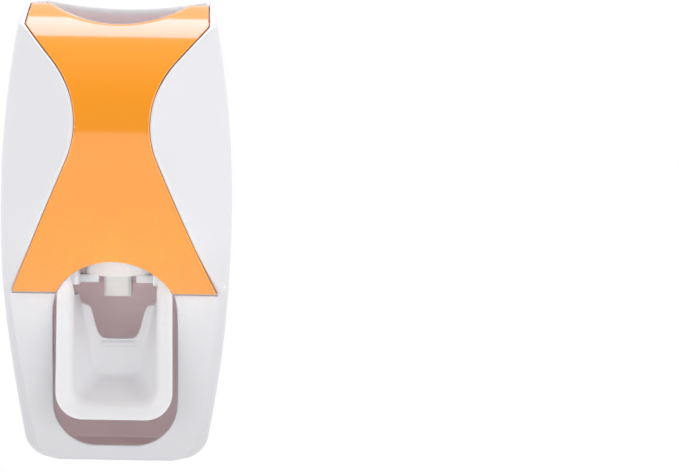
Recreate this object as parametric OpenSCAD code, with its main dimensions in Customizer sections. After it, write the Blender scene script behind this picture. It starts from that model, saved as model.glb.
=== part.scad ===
// Wall-hung toothpaste dispenser with a squeeze cup and a vacuum pump, in millimetres.
// The wall is the plane y = 0, the front looks along -Y and +Z is up.
// Heights are measured from the foot of the body and depths from the wall, and every module is
// moved down at the end, so that the origin is the middle of the adhesive face on the wall.

/* [Body] */
// Height of the body
body_h = 161; // [151:1:177]
// Half of the greatest width
body_half_w = 40.5; // [39:0.5:46]
// Height of the widest line
widest_z = 91; // [81:1:101]
// Half width of the side outline at the top
top_half_w = 33.4; // [32:0.2:36]
// Half width of the side outline at the foot, before its corners are rounded
foot_half_w = 31.4; // [29:0.2:34]
// Radius of the corners at the foot
corner_r = 7.6; // [6:0.2:10]
// Depth of the widest line from the wall
widest_depth = 38.5; // [36:0.5:41]
// Depth of the joint between the two shells
split_depth = 26; // [22:0.5:27]
// Draft of the front shell behind its widest line, in degrees
front_draft = 2.5; // [1:0.5:4]
// Draft of the rear shell, in degrees
rear_draft = 6; // [2:0.5:7]
// Wall of both shells
wall = 2; // [1.6:0.1:2.4]
// Gap between the wall and the back of the rear shell
back_gap = 1.3; // [1.2:0.1:2]

/* [Front] */
// Greatest depth of the front panel, at its crown
front_depth = 64.3; // [60:0.5:70]
// Height of the crown
crown_z = 111; // [105:1:117]
// Depth of the panel's outer face at its top edge
top_depth = 28.7; // [28:0.1:32]
// Depth of the panel's outer face at its bottom edge
panel_foot_depth = 46; // [45:0.5:50]
// Depth of the white front just under the panel
ledge_depth = 43.6; // [42:0.2:44.6]
// Depth of the white front at the foot
foot_depth = 37; // [34:0.5:40]
// Rounding of the front edge at the foot
foot_edge_r = 1.2; // [0.8:0.1:3]
// Distance of a wing's rear corner in front of the widest line
wing_corner = 2.7; // [1:0.1:4]
// Rounding between a wing and the side
wing_fillet = 6; // [3:0.5:8]
// Bevel between the white front and the side, at the foot
foot_bevel = 5; // [3:0.5:7]

/* [Panel] */
// Thickness of the panel
panel_t = 2; // [1.6:0.1:2.4]
// Height of the panel's bottom edge
panel_z = 61.2; // [59:0.2:64]
// Half width of the panel's shoulder, near the top
shoulder_half = 32.2; // [31:0.1:32.4]
// Half width of the waist
waist_half = 12.95; // [11:0.05:16]
// Height of the waist
waist_z = 121.5; // [117:0.5:125]
// Radius of the waist's curve
waist_r = 31.5; // [28:0.5:36]
// Slope of the flanks under the waist, in degrees from upright
low_flank = 23; // [21:0.5:24]
// Slope of the flanks above the waist, in degrees from upright
top_flank = 42.5; // [40:0.5:45]
// Half width of the hollow in the top edge
scoop_half = 24.4; // [20:0.2:27]
// Depth of that hollow
scoop_drop = 6.4; // [4:0.2:9]
// Half width of the arch over the cup, at the panel's bottom edge
arch_half = 20.4; // [20.2:0.1:21]
// Rise of that arch
arch_rise = 12; // [11.4:0.1:12.6]
// White lip round the panel
lip = 1.2; // [0.8:0.1:1.6]
// Step from the lip up to the panel
lip_step = 0.3; // [0:0.1:0.6]
// Gap round the panel in its recess
panel_gap = 0.15; // [0.1:0.05:0.25]

/* [Window] */
// Half width of the opening for the cup
window_half = 21.8; // [21.4:0.1:22.4]
// Height of the opening's bottom edge
window_z = 5.5; // [4.6:0.1:7]
// Radius of the opening's bottom corners
window_r = 15; // [12:0.5:18]
// Height of the opening's top
window_top = 74.8; // [74:0.2:75.4]
// Fall of the rear shell's top edge at its middle
rear_dip = 2.8; // [1:0.2:5]
// Half width of that dip
rear_dip_half = 28.5; // [22:0.5:29]

/* [Cup] */
// Depth of the rim's front face
rim_depth = 45.3; // [44.8:0.1:46]
// Half width of the rim at its widest
rim_half = 20.5; // [19.8:0.1:20.7]
// Height of the rim's lower edge
rim_z = 16.1; // [15:0.1:19]
// Radius of the rim's lower corners
rim_r = 9.5; // [8:0.5:11]
// Half width of the cup's mouth
mouth_half = 14.4; // [13.9:0.1:15]
// Height of the mouth's lower edge
mouth_z = 21.6; // [20.6:0.1:23]
// Radius of the mouth's lower corners
mouth_r = 6; // [4:0.5:8]
// Fall of the rim's face from its outer edge to the mouth
rim_slope = 2.4; // [1:0.1:3]
// Depth of the cup's back wall
back_depth = 27; // [26:0.2:30]
// Half width of the back wall at its foot
back_half = 7.9; // [6:0.1:9]
// Height of the back wall's foot
back_z = 28.4; // [26:0.2:31]
// Wall of the cup
cup_wall = 1.8; // [1.4:0.1:2.2]
// Height of the cup's side walls at the back
cup_top = 58.6; // [57:0.2:59]
// Height of the shoulders beside the notch
notch_top = 54; // [52:0.2:56]
// Height of the notch's floor
notch_z = 42.7; // [39:0.1:45]
// Half width of the notch's floor
notch_half = 5; // [4.9:0.1:6.4]
// Half width of the notch at its shoulders
notch_top_half = 10; // [8:0.1:11]
// Half length of the ridge under the notch
ridge_half = 6.6; // [4:0.1:7]
// Height of the ridge
ridge_h = 3.2; // [2:0.1:4]
// How far the ridge stands out
ridge_out = 1; // [0.4:0.1:1.6]

/* [Lever] */
// Distance of the cup's hinge behind the panel's face
hinge_back = 9.9; // [9.4:0.1:10.4]
// Height of the cup's hinge
hinge_z = 76; // [75.6:0.1:77]
// Radius of the hinge shaft
shaft_r = 1.5; // [1.2:0.1:2]
// Radius of the bosses on the shaft
boss_r = 3.6; // [3:0.1:4]
// Half of the clear width between the two cheeks
cheek_in = 13.3; // [12.9:0.1:13.8]
// Thickness of a cheek
cheek_t = 2.4; // [2:0.1:3]
// Height of a fork bar
bar_h = 2.8; // [2.2:0.1:3.4]
// Distance of a fork bar's nose in front of the pump's axis
nose_lead = 2; // [1:0.1:3]
// Clear half width between the two fork bars
fork_half = 6.6; // [5.4:0.1:7]
// Free turn of the cup, in degrees
cup_turn = 16; // [12:0.5:18]

/* [Pump] */
// Depth of the pump's axis
pump_depth = 26.5; // [26:0.1:27]
// Radius of the plunger's drum
drum_r = 12; // [11:0.1:12.4]
// Height of the drum's underside
drum_z = 66.1; // [66:0.1:67]
// Height of the drum
drum_h = 7; // [5:0.1:8]
// Wall and floor of the drum
drum_wall = 1.6; // [1.2:0.1:2]
// Bore of the pump cylinder, as a radius
pump_bore_r = 5.5; // [5:0.1:5.8]
// Wall of the pump cylinder
pump_wall = 1.5; // [1.2:0.1:1.8]
// Radius of the plunger's stem
stem_r = 3.8; // [3:0.1:4.2]
// Radius of the passage through the stem
passage_r = 1.6; // [1.2:0.1:2]
// Height of the shelf's underside
shelf_z = 85; // [84.4:0.1:87]
// Thickness of the shelf
shelf_t = 2.5; // [2:0.1:3]
// Length of the cylinder that the plunger fills at rest
plunged = 10; // [8:0.5:12]
// Mean radius of the return spring
spring_r = 8.7; // [8.4:0.1:9]
// Radius of the spring's wire
wire_r = 0.5; // [0.4:0.05:0.6]
// Turns of the return spring
spring_turns = 5; // [3:1:7]
// Width of the nozzle
nozzle_w = 9.5; // [8:0.1:10]
// Height of the nozzle under the drum
nozzle_h = 8; // [6:0.1:9]

/* [Tube socket] */
// Radius of the socket for the tube's neck
socket_r = 6.25; // [5.5:0.05:7]
// Length of the socket
socket_len = 8.5; // [6:0.1:12]
// Wall of the silicone adapter
adapter_wall = 2; // [1.6:0.1:3]
// Length of the adapter's sleeve on the pump cylinder
sleeve_len = 9; // [7:0.1:12]
// Wall of the hard collar round the socket
collar_t = 1.8; // [1.4:0.1:2.4]
// Height of the hard collar
collar_h = 6.5; // [4:0.1:8]

/* [Wall plate] */
// Half width of the wall plate at its wide face
plate_half = 25; // [22:0.5:26]
// Height of the wall plate
plate_h = 34; // [30:0.5:36]
// Thickness of the wall plate
plate_t = 2.4; // [2:0.1:3]
// Run-in of the dovetail on each side
dovetail = 2; // [1.2:0.1:2.6]
// Height of the wall plate's middle
plate_z = 114; // [112:0.5:115]
// Thickness of the adhesive pads
pad_t = 1; // [0.6:0.1:1.1]
// Half width of an adhesive pad
pad_half = 20; // [16:0.5:21]
// Height of one adhesive pad
pad_h = 9; // [6:0.5:10]

/* [Screws] */
// Radius of the screw shanks
screw_r = 1.25; // [1:0.05:1.5]
// Radius of the screw heads
head_r = 2.6; // [2.2:0.1:2.8]
// Height of the screw heads
head_h = 1.8; // [1.4:0.1:2.2]
// Distance of the upper shell screws from the widest side
top_screw_in = 10.5; // [9.5:0.1:11]
// Height of the upper shell screws
top_screw_z = 123; // [119:0.5:127]
// Distance of the lower shell screws from the widest side
low_screw_in = 10.5; // [10:0.1:11]
// Height of the lower shell screws
low_screw_z = 43; // [40:0.5:46]
// Distance of the chassis screws from the widest side
chassis_screw_in = 9.5; // [8.5:0.1:10.5]
// Height of the lower chassis screws
chassis_screw_z = 75; // [74:0.5:77]
// Distance between the lower and the upper chassis screws
chassis_screw_step = 17; // [15:0.5:20]

/* [Fits] */
// Gap between pieces that move past each other
move_gap = 0.3; // [0.25:0.05:0.4]
// Gap between pieces that are put together and stay
seat_gap = 0.1; // [0.05:0.05:0.15]
// Radial gap of a running fit
run_gap = 0.06; // [0.04:0.01:0.09]

/* [Hidden] */
$fn = 64;

// Half of something too long for the body, for cuts that run out into the air
far = 120;

// Radius of the arc through a level point and one that lies run along and fall below it
function arc_r(run, fall) = (run * run + fall * fall) / (2 * fall);
// Fall of that arc at a distance from its level point
function arc_fall(r, run) = r - sqrt(max(0, r * r - run * run));
function mix(a, b, t) = a + (b - a) * t;

// Side outline, seen from the front
side_r_up = arc_r(body_h - widest_z, body_half_w - top_half_w);
side_r_low = arc_r(widest_z, body_half_w - foot_half_w);
function side_half(z) = body_half_w - arc_fall(z > widest_z ? side_r_up : side_r_low, abs(z - widest_z))
    - (z < corner_r ? arc_fall(corner_r, corner_r - z) : 0);

// Profile of the panel's outer face, seen from the side
top_r = arc_r(body_h - crown_z, front_depth - top_depth);
face_r = arc_r(crown_z - panel_z, front_depth - panel_foot_depth);
function face_depth(z, inset) = let (r = z > crown_z ? top_r : face_r)
    front_depth - r + sqrt(max(0, pow(r - inset, 2) - pow(z - crown_z, 2)));

// White front under the panel, a little hollow, with a rounded foot
hollow_r = arc_r(panel_z, ledge_depth - foot_depth);
function low_depth(z) = foot_depth + arc_fall(hollow_r, z)
    - (z < foot_edge_r ? arc_fall(foot_edge_r, foot_edge_r - z) : 0);

// Edge of the hourglass panel
waist_x = waist_half + waist_r;
function flank_x(z) = z > waist_z + waist_r * sin(top_flank)
    ? waist_x + (-waist_r + (z - waist_z) * sin(top_flank)) / cos(top_flank)
    : z < waist_z - waist_r * sin(low_flank)
    ? waist_x + (-waist_r + (waist_z - z) * sin(low_flank)) / cos(low_flank)
    : waist_x - sqrt(waist_r * waist_r - pow(z - waist_z, 2));
shoulder_drop = 10;
panel_top_half = shoulder_half - 0.12 * shoulder_drop;
function shoulder_x(z) = mix(panel_top_half, shoulder_half, (body_h - z) / shoulder_drop);
function panel_half(z) = min(flank_x(z), z > crown_z ? shoulder_x(z) : flank_x(z));

// White surface: its depth, and the edge where a wing begins
step_fade = 16;
function lip_drop(z) = mix(panel_foot_depth - ledge_depth, lip_step, min(1, (z - panel_z) / step_fade));
function white_depth(z) = z < panel_z ? low_depth(z) : face_depth(z, 0) - lip_drop(z);
function bevel_at(z) = mix(foot_bevel, side_half(panel_z) - panel_half(panel_z) - lip, z / panel_z);
min_side = 1;
function wing_x(z) = z < panel_z ? side_half(z) - bevel_at(z)
    : min(panel_half(z) + lip, side_half(z) - min_side);
function corner_depth(z) = min(widest_depth + wing_corner,
    white_depth(z) - (z < panel_z ? bevel_at(z) : 1.5 * min_side));
function draft_half(z, depth) = side_half(z) - max(0, widest_depth - depth) * tan(front_draft);

// Right half of one level of the front shell, from the middle of its front to the shells' joint
fillet_steps = 4;
function half_section(z) =
    let (a = [wing_x(z), -white_depth(z)],
         b = [draft_half(z, corner_depth(z)), -corner_depth(z)],
         slope = atan2(b.y - a.y, b.x - a.x),
         bite = tan((90 - slope) / 2),
         r = min(wing_fillet, 0.8 * norm(b - a) / bite, 0.8 * (-split_depth - b.y) / bite),
         c = [b.x - r, b.y + r * bite])
    concat([a], [for (i = [0:fillet_steps]) let (t = mix(slope, 90, i / fillet_steps))
        c + r * [sin(t), -cos(t)]],
        [[draft_half(z, -c.y), -min(widest_depth, -c.y)], [draft_half(z, split_depth), -split_depth]]);

// The same for the hollow inside it, which runs past the joint
skin = panel_t + panel_gap + wall;
function inside_depth(z) = max(split_depth - 2 * wall,
    z < panel_z ? low_depth(max(z, foot_edge_r)) - wall
    : mix(ledge_depth - wall, face_depth(z, skin), min(1, (z - panel_z) / (step_fade / 4))));
function half_hollow(z) = let (d = inside_depth(z), h = side_half(max(z, corner_r / 2)) - wall)
    [[min(wing_x(z), h) - wall / 2, -d], [h, -min(corner_depth(z) - wall / 3, d - wall / 4)],
     [h - wall / 4, wall - split_depth]];

function mirrored(half) = concat(half, [for (i = [len(half) - 1:-1:0]) [-half[i].x, half[i].y]]);
function raised(points, z) = [for (p = points) [p.x, p.y, z]];

// Heights of the levels, close together where the outline turns quickly
function heights(low) = concat(
    [for (a = [0:15:75]) low + (corner_r - low) * (1 - cos(a))],
    [for (i = [0:9]) mix(corner_r, panel_z, i / 10)],
    [for (i = [0:12]) mix(panel_z, crown_z, i / 13)],
    [for (i = [0:14]) crown_z + top_r * sin(asin((body_h - crown_z) / top_r) * i / 14)]);

// Skin between one level and the next
module slab(lower, upper) {
    n = len(lower);
    points = concat(lower, upper);
    hull() polyhedron(points, concat([[for (i = [0:n - 1]) i]], [[for (i = [n - 1:-1:0]) n + i]],
        [for (i = [0:n - 1]) [i, n + i, n + (i + 1) % n, (i + 1) % n]]));
}

module front_body() {
    z = heights(0);
    for (i = [0:len(z) - 2])
        slab(raised(mirrored(half_section(z[i])), z[i]),
             raised(mirrored(half_section(z[i + 1])), z[i + 1]));
}

module front_hollow() {
    z = heights(wall);
    for (i = [0:len(z) - 2])
        slab(raised(mirrored(half_hollow(z[i])), z[i]),
             raised(mirrored(half_hollow(z[i + 1])), z[i + 1]));
    top = raised(mirrored(half_hollow(body_h)), body_h);
    slab(top, raised(mirrored(half_hollow(body_h)), body_h + wall));
}

// Puts a piece in the frame of the wall plate
module hung() translate([0, 0, -plate_z]) children();
// Outline seen from the front, made solid from one depth to another
module between(near, far_end) translate([0, -near, 0]) rotate([90, 0, 0])
    linear_extrude(far_end - near) children();
// Outline seen from the side, drawn as [y, z], made solid across the body
module across(half_w) rotate([90, 0, 90]) translate([0, 0, -half_w])
    linear_extrude(2 * half_w) children();
// Round bar along Y, from one depth to another
module rod_back(r, near, far_end) translate([0, -near, 0]) rotate([90, 0, 0])
    cylinder(r = r, h = far_end - near);
module both_sides() {
    children();
    mirror([1, 0, 0]) children();
}

// Side profile within the panel's outer face, drawn as [y, z]
module face_profile(inset) {
    intersection() {
        translate([top_r - front_depth, crown_z]) circle(top_r - inset, $fn = 180);
        translate([-far, crown_z]) square([far, far]);
    }
    intersection() {
        translate([face_r - front_depth, crown_z]) circle(face_r - inset, $fn = 240);
        translate([-far, crown_z - far]) square([far, far]);
    }
}

// Hourglass of the panel, seen from the front, larger all round by grow
module waist_bite(grow) {
    r = waist_r - grow;
    out = 2 * far;
    translate([waist_x, waist_z]) {
        circle(r, $fn = 180);
        polygon([[0, 0], r * [-cos(top_flank), sin(top_flank)],
            r * [-cos(top_flank), sin(top_flank)] + out * [sin(top_flank), cos(top_flank)], [out, 0]]);
        polygon([[0, 0], [out, 0],
            r * [-cos(low_flank), -sin(low_flank)] + out * [sin(low_flank), -cos(low_flank)],
            r * [-cos(low_flank), -sin(low_flank)]]);
    }
}

arch_r = arc_r(arch_half, arch_rise);
scoop_r = arc_r(scoop_half, scoop_drop);
module arch(grow) translate([0, panel_z + arch_rise - arch_r]) circle(arch_r + grow, $fn = 120);
module scoop(grow) translate([0, body_h - scoop_drop + scoop_r]) circle(scoop_r + grow, $fn = 180);

module panel_outline(grow) {
    base = panel_half(panel_z);
    difference() {
        polygon([[-base - grow, panel_z - grow], [base + grow, panel_z - grow],
            [base + grow, crown_z], [shoulder_half + grow, body_h - shoulder_drop],
            [panel_top_half + grow, body_h + grow], [-panel_top_half - grow, body_h + grow],
            [-shoulder_half - grow, body_h - shoulder_drop], [-base - grow, crown_z]]);
        waist_bite(grow);
        mirror([1, 0]) waist_bite(grow);
    }
}

// Opening for the cup: round at the foot, an arch at the top
module window_outline(grow) hull() {
    translate([0, window_top - window_half]) circle(window_half + grow, $fn = 96);
    for (s = [-1, 1]) translate([s * (window_half - window_r), window_z + window_r])
        circle(window_r + grow, $fn = 64);
}

// Hooks that hold the panel in the front shell
hook_half = 3;
hook_t = 1.4;
hook_reach = 3.6;
hook_barb = 0.8;
hook_places = [for (s = [-1, 1]) for (z = [waist_z + 16, waist_z - 32]) [s * (panel_half(z) - 8), z]];
module hook_slot(place) translate([place.x - hook_half - move_gap, -front_depth,
    place.y - hook_t / 2 - move_gap])
    cube([2 * (hook_half + move_gap), front_depth - split_depth, hook_t + 2 * move_gap + hook_barb]);
module hook(place) {
    near = face_depth(place.y + hook_t, skin) - hook_reach;
    translate([place.x - hook_half, -face_depth(place.y, panel_t / 2), place.y - hook_t / 2])
        cube([2 * hook_half, face_depth(place.y, panel_t / 2) - near, hook_t]);
    translate([place.x - hook_half, -near - hook_reach / 2, place.y - hook_t / 2])
        cube([2 * hook_half, hook_reach / 2, hook_t + hook_barb]);
}

// Screws that hold the two shells together, from the back
top_screw_x = body_half_w - top_screw_in;
low_screw_x = body_half_w - low_screw_in;
chassis_screw_x = body_half_w - chassis_screw_in;
shell_screw_places = [for (s = [-1, 1]) for (p = [[top_screw_x, top_screw_z],
    [low_screw_x, low_screw_z]]) [s * p.x, p.y]];
column_r = head_r + seat_gap + 1.2;
front_column_r = screw_r + 2;
head_seat = split_depth - 6;
shell_screw_len = 14;
module at_shell_screws() for (p = shell_screw_places) translate([p.x, 0, p.y]) children();

module front_shell() hung() color("white") difference() {
    front_body();
    difference() {
        front_hollow();
        at_shell_screws() rod_back(front_column_r, split_depth - 2 * wall, front_depth);
    }
    between(split_depth - wall, front_depth) window_outline(0);
    between(split_depth - wall, front_depth) scoop(2 * panel_gap);
    difference() {
        between(split_depth - wall, front_depth + wall) panel_outline(panel_gap);
        across(far) face_profile(panel_t + panel_gap);
    }
    for (p = hook_places) hook_slot(p);
    at_shell_screws() rod_back(screw_r + seat_gap, split_depth - wall,
        head_seat + shell_screw_len + seat_gap);
}

module front_panel() hung() color([1, 0.63, 0.19]) {
    reach = panel_half(panel_z) + wall;
    intersection() {
        difference() {
            across(far) face_profile(0);
            across(far) face_profile(panel_t);
            both_sides() between(1, far) waist_bite(0);
            between(1, far) arch(0);
            between(1, far) scoop(0);
        }
        between(split_depth + seat_gap, front_depth + wall) polygon([[-reach, panel_z], [reach, panel_z],
            [shoulder_half, body_h - shoulder_drop], [panel_top_half, body_h],
            [-panel_top_half, body_h], [-shoulder_half, body_h - shoulder_drop]]);
    }
    for (p = hook_places) hook(p);
}

// Outline of the rear shell at one depth: the side outline drawn in by an inset
module side_outline(inset, low, high) {
    z = concat([for (a = [0:15:75]) low + (corner_r - low) * (1 - cos(a))],
        [for (i = [0:20]) mix(corner_r, high, i / 20)]);
    half = [for (h = z) [side_half(h < corner_r ? corner_r * (h - low) / (corner_r - low) : min(h, body_h))
        - inset, h]];
    polygon(mirrored(half));
}

joint_inset = (widest_depth - split_depth) * tan(front_draft);
back_inset = joint_inset + (split_depth - back_gap) * tan(rear_draft);
film = 0.01;
module rear_body(inset, low, high, near) hull() {
    between(near, near + film) side_outline(back_inset + inset, low, high);
    between(split_depth - film, split_depth) side_outline(joint_inset + inset, low, high);
}

// Recess behind the rear shell that slides over the wall plate
plate_back = pad_t;
plate_front = pad_t + plate_t;
lift = plate_h + 1;
recess_top = plate_z + plate_h / 2 + move_gap / 2;
recess_mid = plate_z - plate_h / 2 - move_gap;
recess_low = recess_mid - lift - move_gap;
recess_depth = plate_front + move_gap;
recess_wall_depth = recess_depth + wall;
module dovetail_outline(grow) polygon([
    [-plate_half + dovetail - grow, -plate_back + far], [plate_half - dovetail + grow, -plate_back + far],
    [plate_half - dovetail + grow, -plate_back], [plate_half + grow, -plate_front],
    [plate_half + grow, -plate_front - grow], [-plate_half - grow, -plate_front - grow],
    [-plate_half - grow, -plate_front], [-plate_half + dovetail - grow, -plate_back]]);

module wall_plate() hung() color([0.9, 0.9, 0.92]) intersection() {
    translate([0, 0, plate_z - plate_h / 2]) linear_extrude(plate_h) dovetail_outline(0);
    translate([-far, -plate_front, 0]) cube([2 * far, plate_t, body_h]);
}

pad_shift = plate_h / 2 - pad_h / 2 - 1;
module adhesive_pads() hung() color([0.75, 0.75, 0.75]) for (s = [-1:1])
    translate([0, 0, plate_z + s * pad_shift]) between(0, pad_t) {
        square([2 * pad_half - 4, pad_h], center = true);
        square([2 * pad_half, pad_h - 4], center = true);
        for (c = [-1, 1]) for (k = [-1, 1])
            translate([c * (pad_half - 2), k * (pad_h / 2 - 2)]) circle(2);
    }

// Chassis that carries the pump and the cup's hinge
seat_boss_r = 3.6;
seat_boss_depth = recess_wall_depth + 2.5;
chassis_t = 2.4;
chassis_screw_len = 8;
chassis_screw_places = [for (s = [-1, 1]) for (k = [0, 1])
    [s * chassis_screw_x, chassis_screw_z + k * chassis_screw_step]];
module at_chassis_screws() for (p = chassis_screw_places) translate([p.x, 0, p.y]) children();

dip_r = arc_r(rear_dip_half, rear_dip);
module rear_shell() hung() color([0.94, 0.93, 0.94]) difference() {
    union() {
        difference() {
            rear_body(0, 0, body_h, back_gap);
            rear_body(wall, wall, body_h + wall, back_gap + wall);
        }
        translate([-plate_half - move_gap - wall, -recess_wall_depth, recess_low - wall])
            cube([2 * (plate_half + move_gap + wall), recess_wall_depth - back_gap - film,
                recess_top - recess_low + 2 * wall]);
        intersection() {
            at_shell_screws() rod_back(column_r, back_gap + film, split_depth);
            rear_body(film, film, body_h, back_gap);
        }
        at_chassis_screws() rod_back(seat_boss_r, back_gap + film, seat_boss_depth);
    }
    translate([0, 0, recess_mid - wall]) linear_extrude(recess_top - recess_mid + wall)
        dovetail_outline(move_gap);
    translate([-plate_half - move_gap, -recess_depth, recess_low])
        cube([2 * (plate_half + move_gap), recess_depth + wall, recess_mid - recess_low]);
    at_shell_screws() {
        rod_back(head_r + seat_gap, -wall, head_seat);
        rod_back(screw_r + seat_gap, 0, split_depth + wall);
    }
    at_chassis_screws() rod_back(screw_r + seat_gap,
        seat_boss_depth + chassis_t - chassis_screw_len - seat_gap, far);
    translate([0, far, body_h - rear_dip + dip_r]) rotate([90, 0, 0])
        cylinder(r = dip_r, h = far + back_gap + 2 * wall, $fn = 180);
}

// Pan-head screw with a cross recess, its head towards the wall or away from it
module screw(length, seat_r) {
    rod_back(screw_r, 0, length);
    difference() {
        rod_back(head_r, -head_h, 0);
        for (t = [0, 90]) rotate([0, t, 0]) translate([-head_r * 0.6, head_h / 2, -0.35])
            cube([head_r * 1.2, head_h, 0.7]);
    }
}

module shell_screws() hung() color("silver") at_shell_screws()
    translate([0, -head_seat, 0]) screw(shell_screw_len, head_r);

module chassis_screws() hung() color("silver") at_chassis_screws()
    translate([0, -seat_boss_depth - chassis_t, 0]) mirror([0, 1, 0]) screw(chassis_screw_len, head_r);

// Cup hinge and fork
hinge_depth = face_depth(hinge_z, 0) - hinge_back;
nose_reach = hinge_depth - pump_depth - nose_lead;
bore_r = shaft_r + run_gap;
arm_in = cheek_in + cheek_t + 3.2;
arm_t = 2.6;
hinge_boss_out = arm_in - move_gap;
arm_low = hinge_z - boss_r - 0.8;
shelf_half = arm_in + arm_t;
shelf_front = pump_depth + 17;
chassis_depth = seat_boss_depth + chassis_t;
pump_outer_r = pump_bore_r + pump_wall;

module pump_chassis() hung() color([0.93, 0.93, 0.94]) difference() {
    union() {
        // Back plate with ears at its four screws
        between(seat_boss_depth, chassis_depth) difference() {
            translate([-shelf_half, arm_low]) square([2 * shelf_half, shelf_z + shelf_t + 8 - arm_low]);
            translate([0, arm_low]) circle(drum_r + 2);
        }
        for (p = chassis_screw_places) between(seat_boss_depth, chassis_depth) {
            translate([p.x, p.y]) circle(seat_boss_r);
            translate([min(p.x, 0), p.y - seat_boss_r]) square([abs(p.x), 2 * seat_boss_r]);
        }
        // Shelf that carries the pump
        translate([-shelf_half, -shelf_front, shelf_z])
            cube([2 * shelf_half, shelf_front - seat_boss_depth, shelf_t]);
        // Side arms out to the hinge
        both_sides() translate([arm_in, 0, 0]) rotate([90, 0, 90]) linear_extrude(arm_t) {
            polygon([[-seat_boss_depth, arm_low], [-hinge_depth, arm_low], [-hinge_depth, hinge_z + boss_r],
                [-shelf_front, shelf_z + shelf_t], [-seat_boss_depth, shelf_z + shelf_t]]);
            translate([-hinge_depth, hinge_z]) circle(boss_r + 0.8);
        }
    }
    translate([0, -pump_depth, shelf_z - wall]) cylinder(r = pump_outer_r + seat_gap, h = shelf_t + 2 * wall);
    translate([-far, -hinge_depth, hinge_z]) rotate([0, 90, 0]) cylinder(r = shaft_r + seat_gap / 5, h = 2 * far);
    at_chassis_screws() rod_back(screw_r + seat_gap, 0, chassis_depth + wall);
}

// Pump cylinder: open at the foot, with the inlet at its top
nose_r = bar_h / 2;
nose_drop = hinge_z - (drum_z - move_gap * 0.7 - nose_r);
nose_arm = norm([nose_reach, nose_drop]);
nose_angle = atan2(nose_drop, nose_reach);
stroke = nose_arm * (sin(cup_turn - nose_angle) + sin(nose_angle));
cylinder_foot = drum_z + drum_wall + stroke + 1;
flange_t = 2.2;
flange_r = pump_outer_r + 2.5;
shelf_top = shelf_z + shelf_t;
stem_top = cylinder_foot + plunged;
bore_top = stem_top + stroke + 2.2;
cap_t = 2;
cylinder_top = shelf_top + flange_t + sleeve_len;
valve_t = 0.8;
valve_r = pump_bore_r - 1.2;
module up(z) translate([0, -pump_depth, z]) children();

module pump_cylinder() hung() color([0.96, 0.96, 0.97]) difference() {
    union() {
        up(cylinder_foot) cylinder(r = pump_outer_r, h = cylinder_top - cylinder_foot);
        up(shelf_top) cylinder(r = flange_r, h = flange_t);
    }
    up(cylinder_foot - wall) cylinder(r = pump_bore_r, h = bore_top - cylinder_foot + wall);
    up(bore_top + cap_t) cylinder(r = pump_bore_r - 0.5, h = cylinder_top);
    for (a = [0:90:270]) up(bore_top - wall) rotate([0, 0, a + 45]) translate([valve_r * 0.6, 0, 0])
        cylinder(r = 0.9, h = cap_t + 2 * wall);
    up(bore_top - wall) cylinder(r = 0.7 + seat_gap / 2, h = cap_t + 2 * wall);
}

nut_h = 3;
module cylinder_nut() hung() color([0.92, 0.92, 0.93]) up(shelf_z - nut_h) difference() {
    cylinder(r = flange_r + 1, h = nut_h - seat_gap / 2);
    translate([0, 0, -wall]) cylinder(r = pump_outer_r + seat_gap / 2, h = nut_h + 2 * wall);
    for (a = [0:60:300]) rotate([0, 0, a]) translate([flange_r + 1, 0, -wall])
        cylinder(r = 1, h = nut_h + 2 * wall);
}

module inlet_valve() hung() color([0.85, 0.85, 0.87]) {
    up(bore_top - valve_t - seat_gap / 2) cylinder(r = valve_r, h = valve_t);
    up(bore_top - valve_t) cylinder(r = 0.7, h = cap_t + valve_t + 1);
    up(bore_top + cap_t + seat_gap / 2) cylinder(r1 = 1.3, r2 = 0.8, h = 1.2);
}

adapter_foot = shelf_top + flange_t + seat_gap / 2;
adapter_neck = cylinder_top + 1;
adapter_top = adapter_neck + socket_len;
adapter_r = max(pump_outer_r, socket_r) + seat_gap / 2 + adapter_wall;
module tube_adapter() hung() color([0.82, 0.84, 0.86]) difference() {
    up(adapter_foot) cylinder(r = adapter_r, h = adapter_top - adapter_foot);
    up(adapter_foot - wall) cylinder(r = pump_outer_r + seat_gap / 2, h = cylinder_top - adapter_foot + wall);
    up(cylinder_top - wall) cylinder(r = pump_bore_r - 1, h = socket_len);
    up(adapter_neck) cylinder(r = socket_r, h = socket_len + wall);
}

module tube_collar() hung() color("white") up(adapter_top - collar_h - 0.5) difference() {
    cylinder(r = adapter_r + seat_gap / 2 + collar_t, h = collar_h);
    translate([0, 0, -wall]) cylinder(r = adapter_r + seat_gap / 2, h = collar_h + 2 * wall);
    for (a = [0:30:330]) rotate([0, 0, a]) translate([adapter_r + collar_t + 0.6, 0, -wall])
        cylinder(r = 0.9, h = collar_h + 2 * wall);
}

// Plunger: drum, hollow stem and piston head
groove_h = 0.22 * plunged;
groove_r = pump_bore_r - 0.8 * pump_wall;
head_gap = 2 * seat_gap;
module plunger() hung() color([0.97, 0.97, 0.97]) difference() {
    union() {
        up(drum_z) cylinder(r = drum_r, h = drum_h);
        up(drum_z + film) cylinder(r = stem_r, h = stem_top - drum_z - film);
        up(stem_top - 3 * groove_h) cylinder(r = pump_bore_r - head_gap, h = 3 * groove_h);
        up(drum_z - spigot_h) cylinder(r = spigot_r, h = spigot_h + drum_wall);
    }
    difference() {
        up(drum_z + drum_wall) cylinder(r = drum_r - drum_wall, h = drum_h);
        up(drum_z) cylinder(r = stem_r, h = drum_h + 2 * wall);
    }
    difference() {
        up(stem_top - 2 * groove_h) cylinder(r = pump_bore_r, h = groove_h);
        up(stem_top - 3 * groove_h) cylinder(r = groove_r, h = 3 * groove_h);
    }
    up(drum_z - spigot_h - wall) cylinder(r = passage_r, h = stem_top - drum_z + spigot_h + 2 * wall);
}

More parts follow.
